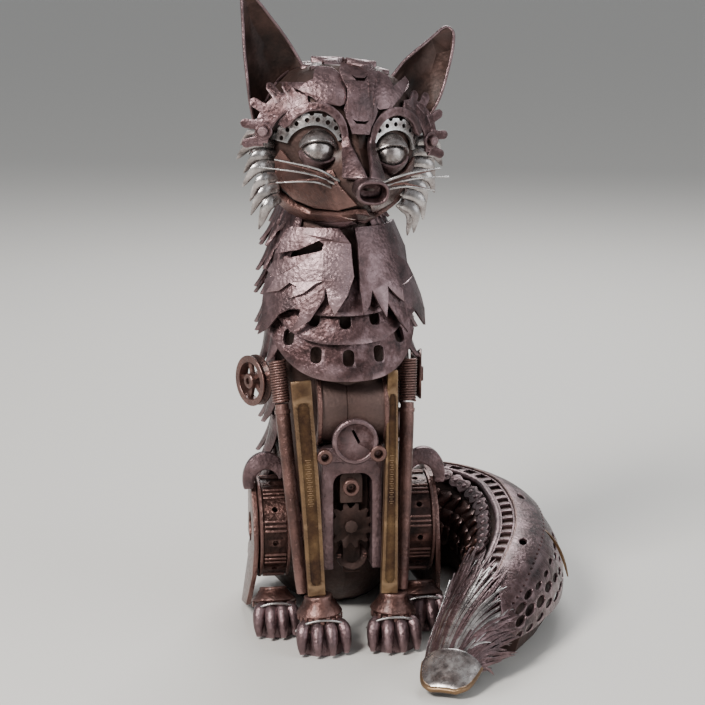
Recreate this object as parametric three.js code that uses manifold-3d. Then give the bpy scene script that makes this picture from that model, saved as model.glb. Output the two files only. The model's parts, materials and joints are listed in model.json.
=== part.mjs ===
// A seated fox, about life size, welded together from scrap steel: cut plates, slotted clutch discs, spanners,
// coil springs, brake drums, roller chain and fork tines. Millimetres, +Z up, and the fox faces -Y.
// "Left" and "right" are the fox's own, so the right ear has a negative x. The origin is the middle of the flat
// underside that it sits on, and the paws and the tail stand on the same plane.
import * as THREE from "three";
import { mergeVertices } from "three/addons/utils/BufferGeometryUtils.js";
import Module from "manifold-3d";

const wasm = await Module();
wasm.setup();

// Driving dimensions
const sheet = 2.6; // thickness of the cut plates
const heavyPlate = 5; // thickness of brackets and gears
const weldGap = 0.5; // air between pieces that touch
const seat = 1.3; // air under a plate that follows a curved body
const facet = 22; // longest edge on a bent plate
const slack = 0.4; // how far a face may be moved to save triangles, less than the air between pieces
const seatBack = 92; // the seat's middle behind the line that the front view is drawn from
const torsoRadius = 75; // a plate's width in millimetres is turned into an angle round the body at this radius
const headCentre = new THREE.Vector3(-10, -40, 522);
const headTurn = 10; // degrees, towards +X
const headTilt = 5; // degrees, the left ear down
const eyeSpread = 38; // each eye from the middle of the face
const eyeHeight = -3;
const eyeSetBack = 56; // the eye's centre in front of the head's
const eyeRadius = 16;
const lidRadius = 20.5;
const lidWall = 3.2;
const noseWidth = 34;
const noseHeight = 25;
const noseWall = 5.5;
const noseCorner = 9;
const noseFront = 129;
const noseDepth = 18;
const rollerRadius = 36;
const rollerWidth = 66;
const flangeRadius = 41;
const flangeWidth = 4;
const rollerHeight = 246;
const legSpread = 37; // each front paw from the middle
const frontToe = 150; // the front toes in front of the origin
const hindSpread = 80;
const hindToe = 88;
const thighSpread = 78; // the middle of each thigh drum from the middle of the body
const thighRadius = 55;
const thighWidth = 32;
const thighHeight = 103;
const thighBack = -3;
const springRadius = 9.5;
const springTurns = 4;
const springLength = 46;
const strutRadius = 8; // under its spring
const strutWaist = 5.8;
const pulleyRadius = 27;
const pulleyWidth = 12;
const chainWidth = 15;

const steel = {
  oxide: new THREE.MeshStandardMaterial({ color: 0x57403f, roughness: 0.45, metalness: 0.75 }),
  rust: new THREE.MeshStandardMaterial({ color: 0x6b3b2a, roughness: 0.6, metalness: 0.5 }),
  dark: new THREE.MeshStandardMaterial({ color: 0x33221e, roughness: 0.6, metalness: 0.6 }),
  worn: new THREE.MeshStandardMaterial({ color: 0x9a9494, roughness: 0.3, metalness: 0.9 }),
  brassy: new THREE.MeshStandardMaterial({ color: 0x6e5838, roughness: 0.5, metalness: 0.7 }),
};

// Small helpers
const v3 = (x, y, z) => new THREE.Vector3(x, y, z);
const rad = THREE.MathUtils.degToRad;
const mix = (a, b, t) => a + (b - a) * t;
const both = [
  ["left", 1],
  ["right", -1],
];

// A smooth curve through rows of numbers, the first number of each row being the place along it.
function smoothRows(rows) {
  return (at) => {
    let i = 0;
    while (i < rows.length - 2 && at > rows[i + 1][0]) i++;
    const [before, from, to] = [rows[Math.max(i - 1, 0)], rows[i], rows[i + 1]];
    const after = rows[Math.min(i + 2, rows.length - 1)];
    const span = to[0] - from[0];
    const t = THREE.MathUtils.clamp((at - from[0]) / span, 0, 1);
    return from.slice(1).map((value, k) => {
      const slopeIn = ((to[k + 1] - before[k + 1]) / (to[0] - before[0])) * span;
      const slopeOut = ((after[k + 1] - value) / (after[0] - from[0])) * span;
      const [t2, t3] = [t * t, t * t * t];
      const level = value * (2 * t3 - 3 * t2 + 1) + to[k + 1] * (3 * t2 - 2 * t3);
      return level + slopeIn * (t3 - 2 * t2 + t) + slopeOut * (t3 - t2);
    });
  };
}

// Solids and geometries
function indexed(geometry) {
  const bare = new THREE.BufferGeometry().setAttribute("position", geometry.getAttribute("position").clone());
  if (geometry.index) bare.setIndex(geometry.index.clone());
  const merged = mergeVertices(bare, 1e-4);
  const place = merged.getAttribute("position");
  const points = Array.from({ length: place.count }, (_, i) => new THREE.Vector3().fromBufferAttribute(place, i));
  const faces = [];
  for (let i = 0; i < merged.index.count; i += 3) {
    const face = [0, 1, 2].map((k) => merged.index.getX(i + k));
    if (new Set(face).size === 3) faces.push(face);
  }
  return { points, faces };
}

// One closed surface, turned so that its faces point out.
function closed(points, faces) {
  const volume = faces.reduce((sum, [a, b, c]) => sum + points[a].dot(points[b].clone().cross(points[c])), 0);
  const outward = volume < 0 ? faces.map(([a, b, c]) => [a, c, b]) : faces;
  return new THREE.BufferGeometry().setFromPoints(points).setIndex(outward.flat());
}

function solidOf(geometry) {
  const { points, faces } = indexed(geometry);
  const vertProperties = new Float32Array(points.flatMap((p) => p.toArray()));
  const triVerts = new Uint32Array(faces.flat());
  return new wasm.Manifold(new wasm.Mesh({ numProp: 3, vertProperties, triVerts }));
}

function geometryOf(solid) {
  const { numProp, numVert, vertProperties, triVerts } = solid.getMesh();
  const points = [];
  for (let i = 0; i < numVert; i++) points.push(v3(...vertProperties.subarray(i * numProp, i * numProp + 3)));
  const faces = Array.from({ length: triVerts.length / 3 }, (_, i) => [...triVerts.subarray(3 * i, 3 * i + 3)]);
  return closed(points, faces);
}

const join = (...parts) => geometryOf(parts.map(solidOf).reduce((a, b) => a.add(b)));
const cut = (part, ...tools) => geometryOf(tools.map(solidOf).reduce((a, b) => a.subtract(b), solidOf(part)));
const keep = (part, region) => geometryOf(solidOf(part).intersect(solidOf(region)));

// Splits every edge over a length, the same way on both of its faces, so that the surface stays closed.
function refine(geometry, longest) {
  let { points, faces } = indexed(geometry);
  for (let found = true; found; ) {
    found = false;
    const middles = new Map();
    const middle = (a, b) => {
      const key = Math.min(a, b) + "/" + Math.max(a, b);
      if (!middles.has(key)) {
        const long = points[a].distanceTo(points[b]) > longest;
        middles.set(key, long ? points.push(points[a].clone().lerp(points[b], 0.5)) - 1 : -1);
        found ||= long;
      }
      return middles.get(key);
    };
    faces = faces.flatMap((face) => {
      const mids = face.map((a, k) => middle(a, face[(k + 1) % 3]));
      const split = mids.filter((m) => m >= 0).length;
      if (split === 0) return [face];
      if (split === 3) {
        const [[a, b, c], [ab, bc, ca]] = [face, mids];
        return [[a, ab, ca], [ab, b, bc], [ca, bc, c], [ab, bc, ca]];
      }
      const turn = split === 1 ? mids.findIndex((m) => m >= 0) : (mids.findIndex((m) => m < 0) + 1) % 3;
      const [a, b, c] = [0, 1, 2].map((k) => face[(k + turn) % 3]);
      const [ab, bc] = [mids[turn], mids[(turn + 1) % 3]];
      return split === 1 ? [[a, ab, c], [ab, b, c]] : [[ab, b, bc], [a, ab, bc], [a, bc, c]];
    });
  }
  return closed(points, faces);
}

function warp(geometry, move) {
  const { points, faces } = indexed(geometry);
  return closed(points.map(move), faces);
}

// Flat outlines
const outline = (points) => new THREE.Shape(points.map(([x, y]) => new THREE.Vector2(x, y)));
const flip = (points, side) => points.map(([x, y]) => [x * side, y]);

function ringOutline(x, y, radiusX, radiusY = radiusX, sides = 10) {
  const turn = (i) => (i / sides) * 2 * Math.PI;
  const at = (i) => [x + radiusX * Math.cos(turn(i)), y + radiusY * Math.sin(turn(i))];
  return Array.from({ length: sides }, (_, i) => at(i));
}

function holed(shape, ...holes) {
  shape.holes.push(...holes.map((points) => new THREE.Path(points.map(([x, y]) => new THREE.Vector2(x, y)))));
  return shape;
}

const slab = (shape, depth, curveSegments = 6) =>
  new THREE.ExtrudeGeometry(shape, { depth, bevelEnabled: false, curveSegments });

// A plate cut flat and then bent over a surface. near and far are its two faces' heights over that surface.
function drape(shape, surface, near, far, longest = facet) {
  const lift = (value, x, y) => (typeof value === "function" ? value(x, y) : value);
  const laid = ({ x, y, z }) => surface(x, y, mix(lift(near, x, y), lift(far, x, y), z));
  return warp(refine(slab(shape, 1), longest), laid);
}

// A closed body through rings of points.
function loft(rings) {
  const count = rings[0].length;
  const points = rings.flat();
  const faces = [];
  for (let i = 0; i < rings.length - 1; i++) {
    for (let j = 0; j < count; j++) {
      const [a, b] = [i * count + j, i * count + ((j + 1) % count)];
      faces.push([a, b, b + count], [a, b + count, a + count]);
    }
  }
  for (const [start, flipCap] of [[0, true], [(rings.length - 1) * count, false]]) {
    const middle = rings[start / count].reduce((sum, p) => sum.add(p), v3(0, 0, 0)).divideScalar(count);
    const centre = points.push(middle) - 1;
    for (let j = 0; j < count; j++) {
      const [a, b] = [start + j, start + ((j + 1) % count)];
      faces.push(flipCap ? [centre, b, a] : [centre, a, b]);
    }
  }
  return closed(points, faces);
}

// A bar along a smooth curve. size gives its half-width and half-height along the way, and up its flat side.
function bar(path, size, { up = v3(0, 0, 1), steps = 8, sides = 4 } = {}) {
  const curve = new THREE.CatmullRomCurve3(path, false, "centripetal");
  const corner = sides === 4 ? Math.PI / 4 : 0;
  const stretch = sides === 4 ? Math.SQRT2 : 1;
  const rings = Array.from({ length: steps + 1 }, (_, i) => {
    const t = i / steps;
    const [centre, along] = [curve.getPoint(t), curve.getTangent(t)];
    const side = along.clone().cross(up).normalize();
    const top = side.clone().cross(along).normalize();
    const [wide, high] = size(t);
    return Array.from({ length: sides }, (_, k) => {
      const angle = corner + (k / sides) * 2 * Math.PI;
      return centre
        .clone()
        .addScaledVector(side, wide * stretch * Math.cos(angle))
        .addScaledVector(top, high * stretch * Math.sin(angle));
    });
  });
  return loft(rings);
}

// A turned part, its profile in radius and height, with its axis along a direction.
function turned(profile, at, axis = v3(0, 0, 1), sides = 16) {
  const lathe = new THREE.LatheGeometry(profile.map(([r, h]) => new THREE.Vector2(r, h)), sides);
  const turn = new THREE.Quaternion().setFromUnitVectors(v3(0, 1, 0), axis.clone().normalize());
  return lathe.applyQuaternion(turn).translate(at.x, at.y, at.z);
}

const disc = (radius, thick, at, axis, sides = 16) =>
  turned([[0, 0], [radius, 0], [radius, thick], [0, thick]], at, axis, sides);

// The fox is one group, with the head in a turned group of its own.
const fox = new THREE.Group();
fox.position.y = -seatBack;
const head = new THREE.Group();
head.position.copy(headCentre);
head.rotation.set(0, rad(headTilt), rad(headTurn), "ZYX");
fox.add(head);
fox.updateMatrixWorld(true);

// Welds a piece on: what would run into an earlier piece is ground away, with a gap left.
const welded = [];
function weld(name, material, geometry, group = fox) {
  let solid = solidOf(geometry.clone().applyMatrix4(group.matrixWorld));
  const box = new THREE.Box3().setFromArray(solid.getMesh().vertProperties);
  for (const earlier of welded) {
    if (!earlier.box.intersectsBox(box) || solid.intersect(earlier.grown).volume() < 1e-3) continue;
    solid = solid.subtract(earlier.grown);
  }
  const largest = solid.decompose().reduce((a, b) => (a.volume() > b.volume() ? a : b)).simplify(slack);
  const shifts = [[1, 0, 0], [-1, 0, 0], [0, 1, 0], [0, -1, 0], [0, 0, 1], [0, 0, -1]];
  const grown = shifts
    .map((shift) => largest.translate(shift.map((s) => s * weldGap)))
    .reduce((sum, moved) => sum.add(moved), largest)
    .simplify(weldGap / 4);
  welded.push({ name, grown, box: new THREE.Box3().setFromArray(grown.getMesh().vertProperties) });
  const mesh = new THREE.Mesh(geometryOf(largest).applyMatrix4(group.matrixWorld.clone().invert()), material);
  mesh.name = name;
  group.add(mesh);
  return mesh;
}

// The body: a closed shell of dark plates, narrower in front low down, that everything else is welded to.
const bodyRows = smoothRows([
  // height, middle's x and y, half-width, half-depth, share by which the front is narrower
  [0, 0, 92, 50, 56, 0.1],
  [14, 0, 82, 64, 76, 0.25],
  [45, 0, 66, 70, 92, 0.34],
  [100, 0, 50, 70, 102, 0.34],
  [160, -1, 34, 68, 96, 0.25],
  [210, -3, 18, 66, 88, 0.12],
  [250, -4, 4, 68, 82, 0.04],
  [290, -5, -8, 70, 78, 0],
  [330, -8, -15, 70, 73, 0],
  [370, -11, -18, 66, 65, 0],
  [410, -14, -20, 60, 57, 0],
  [446, -16, -22, 53, 50, 0],
  [470, -16, -24, 46, 44, 0],
]);

function bodySurface(across, height, lift) {
  const angle = across / torsoRadius;
  const [lean, middle, wide, deep, taper] = bodyRows(height);
  const side = (wide + lift) * Math.sin(angle) * (1 - taper * Math.cos(angle));
  return v3(lean + side, middle - (deep + lift) * Math.cos(angle), height);
}

function bodyShell() {
  const heights = [0, 14, 45, 105, 170, 240, 310, 370, 425, 470];
  const around = 14;
  const full = 2 * Math.PI * torsoRadius;
  return loft(
    heights.map((height) => Array.from({ length: around }, (_, j) => bodySurface((j / around) * full, height, 0))),
  );
}
weld("body_shell", steel.dark, bodyShell());

// The head's form, seen from in front: how far its surface stands before the head's centre.
const brow = 62;
const skullWidth = 80;
const skullMiddle = 8;
const skullHalfHeight = 78;
const skullBack = 56;
const skullBackHalfHeight = 84;
const ridgeRows = smoothRows([
  // height, how far the muzzle's middle stands forward
  [-84, 30],
  [-70, 66],
  [-56, 96],
  [-46, 104],
  [-34, 109],
  [-24, 104],
  [-12, 90],
  [4, 70],
  [24, 56],
  [50, 40],
]);

function skullHalfWidth(z) {
  const up = Math.min(Math.abs(z - skullMiddle) / skullHalfHeight, 1);
  return skullWidth * Math.pow(1 - Math.pow(up, 2.4), 1 / 2.4);
}

function faceDepth(x, z) {
  const up = Math.min(Math.abs(z - skullMiddle) / skullHalfHeight, 1);
  const out = Math.min(Math.abs(x) / skullWidth, 1);
  const skull = brow * Math.pow(Math.max(1 - Math.pow(out, 2.6) - Math.pow(up, 2.6), 0), 0.42);
  const [ridge] = ridgeRows(z);
  const muzzle = ridge - 1.75 * (Math.sqrt(x * x + 90) - 9.5);
  return Math.max(skull, muzzle) + 5 * Math.exp(-Math.abs(skull - muzzle) / 7);
}

function faceSurface(x, z, lift) {
  const step = 2;
  const slopeX = (faceDepth(x + step, z) - faceDepth(x - step, z)) / (2 * step);
  const slopeZ = (faceDepth(x, z + step) - faceDepth(x, z - step)) / (2 * step);
  const normal = v3(-slopeX, -1, -slopeZ).normalize();
  return v3(x, -faceDepth(x, z), z).addScaledVector(normal, lift);
}

function headShell() {
  const heights = [-70, -61, -50, -40, -30, -18, 2, 28, 52, 70, 81];
  const columns = [0, 12, 26, 40, 56, 72];
  const backAngles = [85, 35];
  return loft(
    heights.map((z) => {
      const half = skullHalfWidth(z);
      const near = Math.min(half / 60, 1);
      const place = (x) => (x <= 40 ? x * near : mix(40 * near, half, (x - 40) / 40));
      const front = columns.map((x) => [place(x), -faceDepth(place(x), z)]);
      const deep = skullBack * Math.sqrt(Math.max(1 - ((z - skullMiddle) / skullBackHalfHeight) ** 2, 0));
      const back = backAngles.map((a) => [half * Math.sin(rad(a)), deep * Math.cos(rad(a))]);
      const oneSide = [...front, ...back];
      return [...oneSide, ...flip(oneSide, -1).slice(1).reverse()].map(([x, y]) => v3(x, y, z));
    }),
  );
}
weld("head_shell", steel.dark, headShell(), head);

// Plates on the head. Outlines are in the head's own x and z, and are mirrored for the other side.
const layer = (n) => [seat + n * (sheet + 0.8), seat + n * (sheet + 0.8) + sheet];

// The face carries on past the cheek as a flat flare, so that plates stand out at the sides of the head.
const flareStart = 64;
function flaredFace(x, z, lift) {
  const side = Math.sign(x);
  const over = Math.max(Math.abs(x) - flareStart, 0);
  return faceSurface(x - side * over, z, lift).add(v3(side * over * 0.95, over * 0.5, 0));
}

const eyeAt = (side) => v3(side * eyeSpread, -eyeSetBack, eyeHeight);
const ball = (radius, at, across = 9, down = 7) =>
  new THREE.SphereGeometry(radius, across, down).rotateX(Math.PI / 2).translate(at.x, at.y, at.z);

function eyeball(side) {
  return ball(eyeRadius, eyeAt(side));
}

// Two lids pressed from one ball shell, with an almond opening between them.
function eyelids(side) {
  const at = eyeAt(side);
  const shell = cut(ball(lidRadius, at, 9, 6), ball(lidRadius - lidWall, at, 9, 6));
  const opening = outline(flip([[-17, -3], [-8, 8], [6, 9], [17, -1], [8, -10.5], [-7, -11]], side));
  const punch = slab(opening, 40).rotateX(Math.PI / 2).translate(at.x, at.y, at.z);
  const front = new THREE.BoxGeometry(60, 30, 60).translate(at.x, at.y - 15 + 5, at.z);
  return keep(cut(shell, punch), front);
}

function eyeStrap(side) {
  const inner = 23.5;
  const outer = 34;
  const holes = 4;
  const points = [];
  const teeth = 5;
  for (let i = 0; i <= teeth * 2; i++) {
    const angle = rad(mix(24, 172, i / (teeth * 2)));
    const radius = i % 2 ? outer - 3.5 : outer;
    points.push([-radius * Math.cos(angle), radius * Math.sin(angle)]);
  }
  for (let i = 0; i <= 5; i++) {
    const angle = rad(mix(172, 24, i / 5));
    points.push([-inner * Math.cos(angle), inner * Math.sin(angle)]);
  }
  const drilled = Array.from({ length: holes }, (_, i) => {
    const angle = rad(mix(34, 162, i / (holes - 1)));
    return ringOutline(-27.5 * Math.cos(angle), 27.5 * Math.sin(angle), 2.2, 2.2, 5);
  });
  const place = (list) => list.map(([x, y]) => [side * (x + 41), y - 2]);
  return drape(holed(outline(place(points)), ...drilled.map(place)), faceSurface, seat, seat + sheet, 16);
}

// One heavy wishbone runs up from the nose and round both brows.
function wishbone() {
  const centreLine = [[-4, -12], [-8, 0], [-13, 14], [-22, 28], [-34, 36], [-46, 35], [-57, 28], [-65, 17]];
  const curve = new THREE.CatmullRomCurve3(centreLine.map(([x, y]) => v3(x, y, 0)), false, "centripetal");
  const half = 5;
  const steps = 7;
  const edge = (sign) =>
    Array.from({ length: steps + 1 }, (_, i) => {
      const t = i / steps;
      const [p, along] = [curve.getPoint(t), curve.getTangent(t)];
      return [p.x - along.y * half * sign, p.y + along.x * half * sign];
    });
  const inner = edge(-1).slice(1);
  const outer = edge(1);
  const arm = [...inner, ...outer.reverse()];
  const mirrored = flip(arm, -1).reverse();
  const shape = [...arm, [-13, -17], [-17, -24], [-15, -29], [15, -29], [17, -24], [13, -17], ...mirrored];
  return drape(outline(shape), faceSurface, seat + 4, seat + 4 + heavyPlate, 20);
}

function foreheadPlate() {
  const half = [[5, 13], [9, 22], [14, 30], [17, 38], [13.5, 47], [13, 56], [17, 63], [19, 70], [13, 78]];
  const shape = outline([...half, ...flip(half, -1).reverse()]);
  const slot = (z) => [[-7, z + 2], [-3.5, z - 2.5], [3.5, z - 2.5], [7, z + 2], [3, z + 0.3], [-3, z + 0.3]];
  return drape(holed(shape, slot(27), slot(66)), faceSurface, ...layer(2));
}

function petal(side) {
  const plain = [
    [13, 44], [20, 41], [40, 42], [46, 47], [56, 52], [68, 57], [50, 59], [43, 63], [41, 70], [36, 74], [24, 74],
  ];
  const fingered = [
    [13, 44], [20, 40], [33, 42], [42, 50], [54, 60], [58, 65], [55, 69], [48, 67], [36, 61], [33, 69], [22, 74],
  ];
  return drape(outline([...flip(side < 0 ? plain : fingered, side), [side * 13, 66]]), faceSurface, ...layer(1));
}

function templePlate(side) {
  const edge = [
    [46, 42], [54, 50], [64, 46], [73, 45], [80, 50], [87, 56], [90, 52], [83, 42], [90, 42], [97, 40], [97, 35],
    [90, 31], [94, 24], [109, 22], [110, 17], [98, 14], [115, 5], [116, 0], [99, 2], [94, -3], [84, -4], [79, 5],
    [78, 16], [74, 26], [66, 34], [56, 39],
  ];
  const shape = holed(outline(flip(edge, side)), ringOutline(side * 54, 43, 2.6, 2.6, 6));
  const plate = drape(shape, flaredFace, seat, seat + sheet);
  const boltAt = flaredFace(side * 88, 11, seat + 1);
  const axis = v3(side * 0.5, -0.95, 0);
  return join(plate, disc(9, 4, boltAt, axis, 10), disc(5, 9, boltAt, axis, 6));
}

function cheekPlate(side) {
  const edge = [
    [5, -50], [16, -58], [32, -60], [50, -54], [68, -38], [72, -16], [69, -6], [58, -20], [40, -28], [24, -22],
    [20, -34],
  ];
  const plate = drape(outline(flip(edge, side)), faceSurface, seat, seat + sheet);
  const root = faceSurface(side * 24, -33, seat + sheet / 2);
  const tips = [[88, -13, -76], [101, -22, -68], [84, -36, -74]];
  const whiskers = tips.map(([x, z, y]) => {
    const tip = v3(side * x, y, z);
    const bend = root.clone().lerp(tip, 0.3).add(v3(side * 2, -9, 5));
    return bar([root, bend, tip], (t) => [mix(1.3, 0.5, t), mix(1.3, 0.5, t)], { steps: 2 });
  });
  return join(plate, ...whiskers);
}

function lipBand() {
  const top = [[4, -55], [16, -61], [32, -65], [48, -59], [60, -50], [70, -38], [76, -27]];
  const low = [[79, -33], [72, -46], [60, -58], [46, -68], [32, -73], [16, -70], [0, -63]];
  const right = flip(low, -1).slice(0, -1).reverse();
  const edge = [...top, ...low, ...right, ...flip(top, -1).reverse()];
  return drape(outline(edge), faceSurface, seat, seat + heavyPlate + 1);
}

function chinPlate() {
  const edge = [[0, -69], [14, -75], [28, -79], [22, -84], [0, -88], [-22, -84], [-28, -79], [-14, -75]];
  return drape(outline(edge), faceSurface, seat, seat + sheet);
}

// The nose is a short end of heavy tube with rounded corners.
function nose() {
  const loop = (inset) => {
    const corner = noseCorner - inset * 0.6;
    const [wide, high] = [noseWidth / 2 - inset - corner, noseHeight / 2 - inset - corner];
    return [[1, 1], [-1, 1], [-1, -1], [1, -1]].flatMap(([x, z], k) =>
      [0, 30, 60, 90].map((turn) => {
        const angle = rad(90 * k + turn);
        return [x * wide + corner * Math.cos(angle), z * high + corner * Math.sin(angle)];
      }),
    );
  };
  return slab(holed(outline(loop(0)), loop(noseWall)), noseDepth)
    .rotateX(Math.PI / 2 - 0.12)
    .translate(0, -noseFront + noseDepth, -36);
}

// An ear is one pressed trough, open to the front.
const earRows = {
  right: smoothRows([[20, 66, 34], [52, 68, 33], [90, 79, 29], [120, 93, 19], [152, 109, 5]]),
  left: smoothRows([[20, 74, 30], [52, 80, 32], [84, 90, 28], [108, 104, 17], [128, 112, 6]]),
};
const earEdge = {
  right: [
    [91, 19], [98, 40], [104, 72], [108, 110], [110, 151], [95, 139], [80, 123], [64, 105], [50, 86], [39, 66],
    [36, 50], [58, 30],
  ],
  left: [
    [92, 19], [107, 50], [115, 82], [119, 110], [117, 123], [110, 126], [94, 114], [74, 98], [58, 81], [47, 64],
    [50, 46], [66, 28],
  ],
};

function ear(name, side) {
  const surface = (x, z, lift) => {
    const [middle, half] = earRows[name](z);
    const off = THREE.MathUtils.clamp((Math.abs(x) - middle) / half, -1.1, 1.1);
    return v3(x, -8 + (z - 20) * 0.1 + half * 0.62 * (1 - off * off) - lift, z);
  };
  return drape(outline(flip(earEdge[name], side)), surface, 0, sheet, 28);
}

// Fork tines bent into the fur of the cheek, joined on a short stem that follows the side of the skull.
function cheekRuff(side) {
  const stemLine = [[skullWidth, -14, 2], [skullWidth - 1, -20, -25], [skullWidth - 13, -26, -56]];
  const stem = bar(
    stemLine.map(([x, y, z]) => v3(side * x, y, z)),
    () => [4, 3],
    { up: v3(side, 0, 0), steps: 4 },
  );
  // how far each tip stands out from the skull, its height and its depth
  const tips = [[40, -4, 5], [43, -30, 0], [37, -56, -4], [15, -74, -13]];
  const tines = tips.map(([reach, z, y], i) => {
    const share = i / (tips.length - 1);
    const start = v3(side * (skullWidth + mix(1, -12, share)), mix(-14, -26, share), mix(4, -54, share));
    const tip = v3(side * (skullWidth + reach), y, z);
    const bend = start.clone().lerp(tip, 0.55).add(v3(side * 3, -7, 9));
    return bar([start, bend, tip], (t) => [mix(5.5, 1.2, t * t), mix(2.4, 0.9, t)], { steps: 2 });
  });
  return join(stem, ...tines);
}

for (const [name, side] of both) weld("eye_" + name, steel.worn, eyeball(side), head);
for (const [name, side] of both) weld("eyelids_" + name, steel.oxide, eyelids(side), head);
weld("nose", steel.oxide, nose(), head);
weld("nose_bridge", steel.oxide, wishbone(), head);
for (const [name, side] of both) weld("eye_strap_" + name, steel.worn, eyeStrap(side), head);
weld("lip_band", steel.rust, lipBand(), head);
for (const [name, side] of both) weld("cheek_plate_" + name, steel.rust, cheekPlate(side), head);
weld("chin_plate", steel.oxide, chinPlate(), head);
weld("forehead_plate", steel.oxide, foreheadPlate(), head);
for (const [name, side] of both) weld("brow_petal_" + name, steel.oxide, petal(side), head);
for (const [name, side] of both) weld("temple_plate_" + name, steel.oxide, templePlate(side), head);
for (const [name, side] of both) weld("ear_" + name, steel.dark, ear(name, side), head);
for (const [name, side] of both) weld("cheek_ruff_" + name, steel.worn, cheekRuff(side), head);

// Plates on the body are drawn as seen from in front and wrapped round it.
function wrapped(points) {
  return points.map(([x, z]) => {
    const [lean, , wide] = bodyRows(z);
    return [torsoRadius * Math.asin(THREE.MathUtils.clamp((x - lean) / (wide + 12), -1, 1)), z];
  });
}

// Chest bands: slotted sectors of clutch discs, each with its lower edge standing out over the next.
const bandSpread = 76; // half a band's length round the body
const slotWidth = 12;
const slotHeight = 16;
function chestBand({ low, high, rise, lifts, slots }) {
  const curve = (base, u) => base + rise * Math.abs(u / bandSpread) ** 3;
  const across = Array.from({ length: 9 }, (_, i) => mix(-bandSpread, bandSpread, i / 8));
  const edge = [...across.map((u) => [u, curve(low, u)]), ...across.reverse().map((u) => [u, curve(high, u)])];
  const holes = slots.map((u) => {
    const z = curve(low + 24, u);
    const [half, top] = [slotWidth / 2, slotHeight / 2];
    return [[u - half, z - top], [u + half, z - top + 1], [u + half - 1, z + top], [u - half + 1, z + top - 1]];
  });
  const near = (u, z) => mix(lifts[0], lifts[1], (z - curve(low, u)) / (high - low));
  return drape(holed(outline(edge), ...holes), bodySurface, near, (u, z) => near(u, z) + 3, 40);
}

// Fur plates: torn tongues of sheet that lie over the bands, lifted at their tips.
const overBands = (z) => mix(25, 16, THREE.MathUtils.clamp((z - 345) / 50, 0, 1));
function furPlate(points, layerUp, thick) {
  const near = (u, z) => overBands(z) * mix(1, 0.45, THREE.MathUtils.clamp((z - 400) / 36, 0, 1)) + layerUp;
  return drape(outline(wrapped(points)), bodySurface, near, (u, z) => near(u, z) + thick, 36);
}

// The right bib has a sawn slit with a round end, open to the side.
const bibRight = [
  [-14, 440], [-3, 424], [-3, 405], [-2, 392], [-9, 373], [-20, 355], [-25, 367], [-27, 380], [-31, 388], [-36, 386],
  [-46, 376], [-57, 370], [-52, 382], [-58, 385], [-66, 376], [-76, 372], [-70, 388], [-77, 394], [-72, 405],
  [-52, 412], [-38, 416], [-31, 418], [-29, 424], [-34, 428], [-39, 425], [-52, 418], [-72, 412], [-62, 440],
];
const bibLeft = [
  [2, 440], [4, 424], [3, 400], [3, 378], [5, 354], [11, 364], [14, 378], [19, 364], [25, 350], [28, 366],
  [29, 380],
  [36, 370], [43, 362], [43, 378], [50, 380], [58, 384], [53, 398], [56, 412], [50, 440],
];
const breastRight = [
  [-30, 398], [-27, 384], [-29, 370], [-41, 348], [-58, 334], [-51, 348], [-49, 359], [-58, 358], [-66, 352],
  [-74, 336],
  [-82, 326], [-79, 342], [-80, 358], [-80, 384], [-60, 396],
];
const breastLeft = [
  [26, 394], [22, 376], [30, 362], [40, 342], [48, 330], [50, 346], [56, 350], [62, 340], [68, 330], [68, 346],
  [72, 352],
  [72, 376], [60, 390],
];

// Mane plates hang down the side of the neck and the flank in tiers of tongues, on one strap.
const maneTop = 440;
const maneFoot = 190;
function manePlates(side) {
  // top, bottom, where it starts round the body, and its tongues
  const start = bandSpread + 22;
  const tiers = [[450, 376, start, 3], [382, 286, start + 12, 2], [294, 184, start + 26, 2]];
  const end = 208;
  const strapAt = [150, 162];
  const plates = tiers.map(([top, low, edgeFrom, tongues]) => {
    const edge = [[edgeFrom, top], [end, top]];
    for (let i = 0; i < tongues; i++) {
      const [from, to] = [mix(end, edgeFrom, i / tongues), mix(end, edgeFrom, (i + 1) / tongues)];
      edge.push([from, mix(top, low, 0.45)], [mix(from, to, 0.4), low + 4], [mix(from, to, 0.75), low - 9]);
    }
    const near = (u, z) => mix(16, 2, (z - low + 9) / (top - low + 9));
    return drape(outline(flip(edge, side)), bodySurface, near, (u, z) => near(u, z) + 3.4, 60);
  });
  const [nearSide, farSide] = strapAt;
  const strapEdge = [[nearSide, maneTop], [farSide, maneTop], [farSide, maneFoot], [nearSide, maneFoot]];
  const strap = drape(outline(flip(strapEdge, side)), bodySurface, 1, 9, 90);
  return join(...plates, strap);
}

// Spine: one slotted strip down the back.
function spinePlate() {
  const middle = Math.PI * torsoRadius;
  const spineFoot = 96;
  const half = (i) => (i % 2 ? 15 : 21);
  const edge = [];
  for (let i = 0; i <= 6; i++) edge.push([middle + half(i), mix(maneTop, spineFoot, i / 6)]);
  for (let i = 6; i >= 0; i--) edge.push([middle - half(i), mix(maneTop, spineFoot, i / 6)]);
  const slots = Array.from({ length: 4 }, (_, i) => {
    const z = mix(408, 150, i / 3);
    return ringOutline(middle, z, 7, 12, 6);
  });
  return drape(holed(outline(edge), ...slots), bodySurface, 4, 4 + heavyPlate, 60);
}

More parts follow.
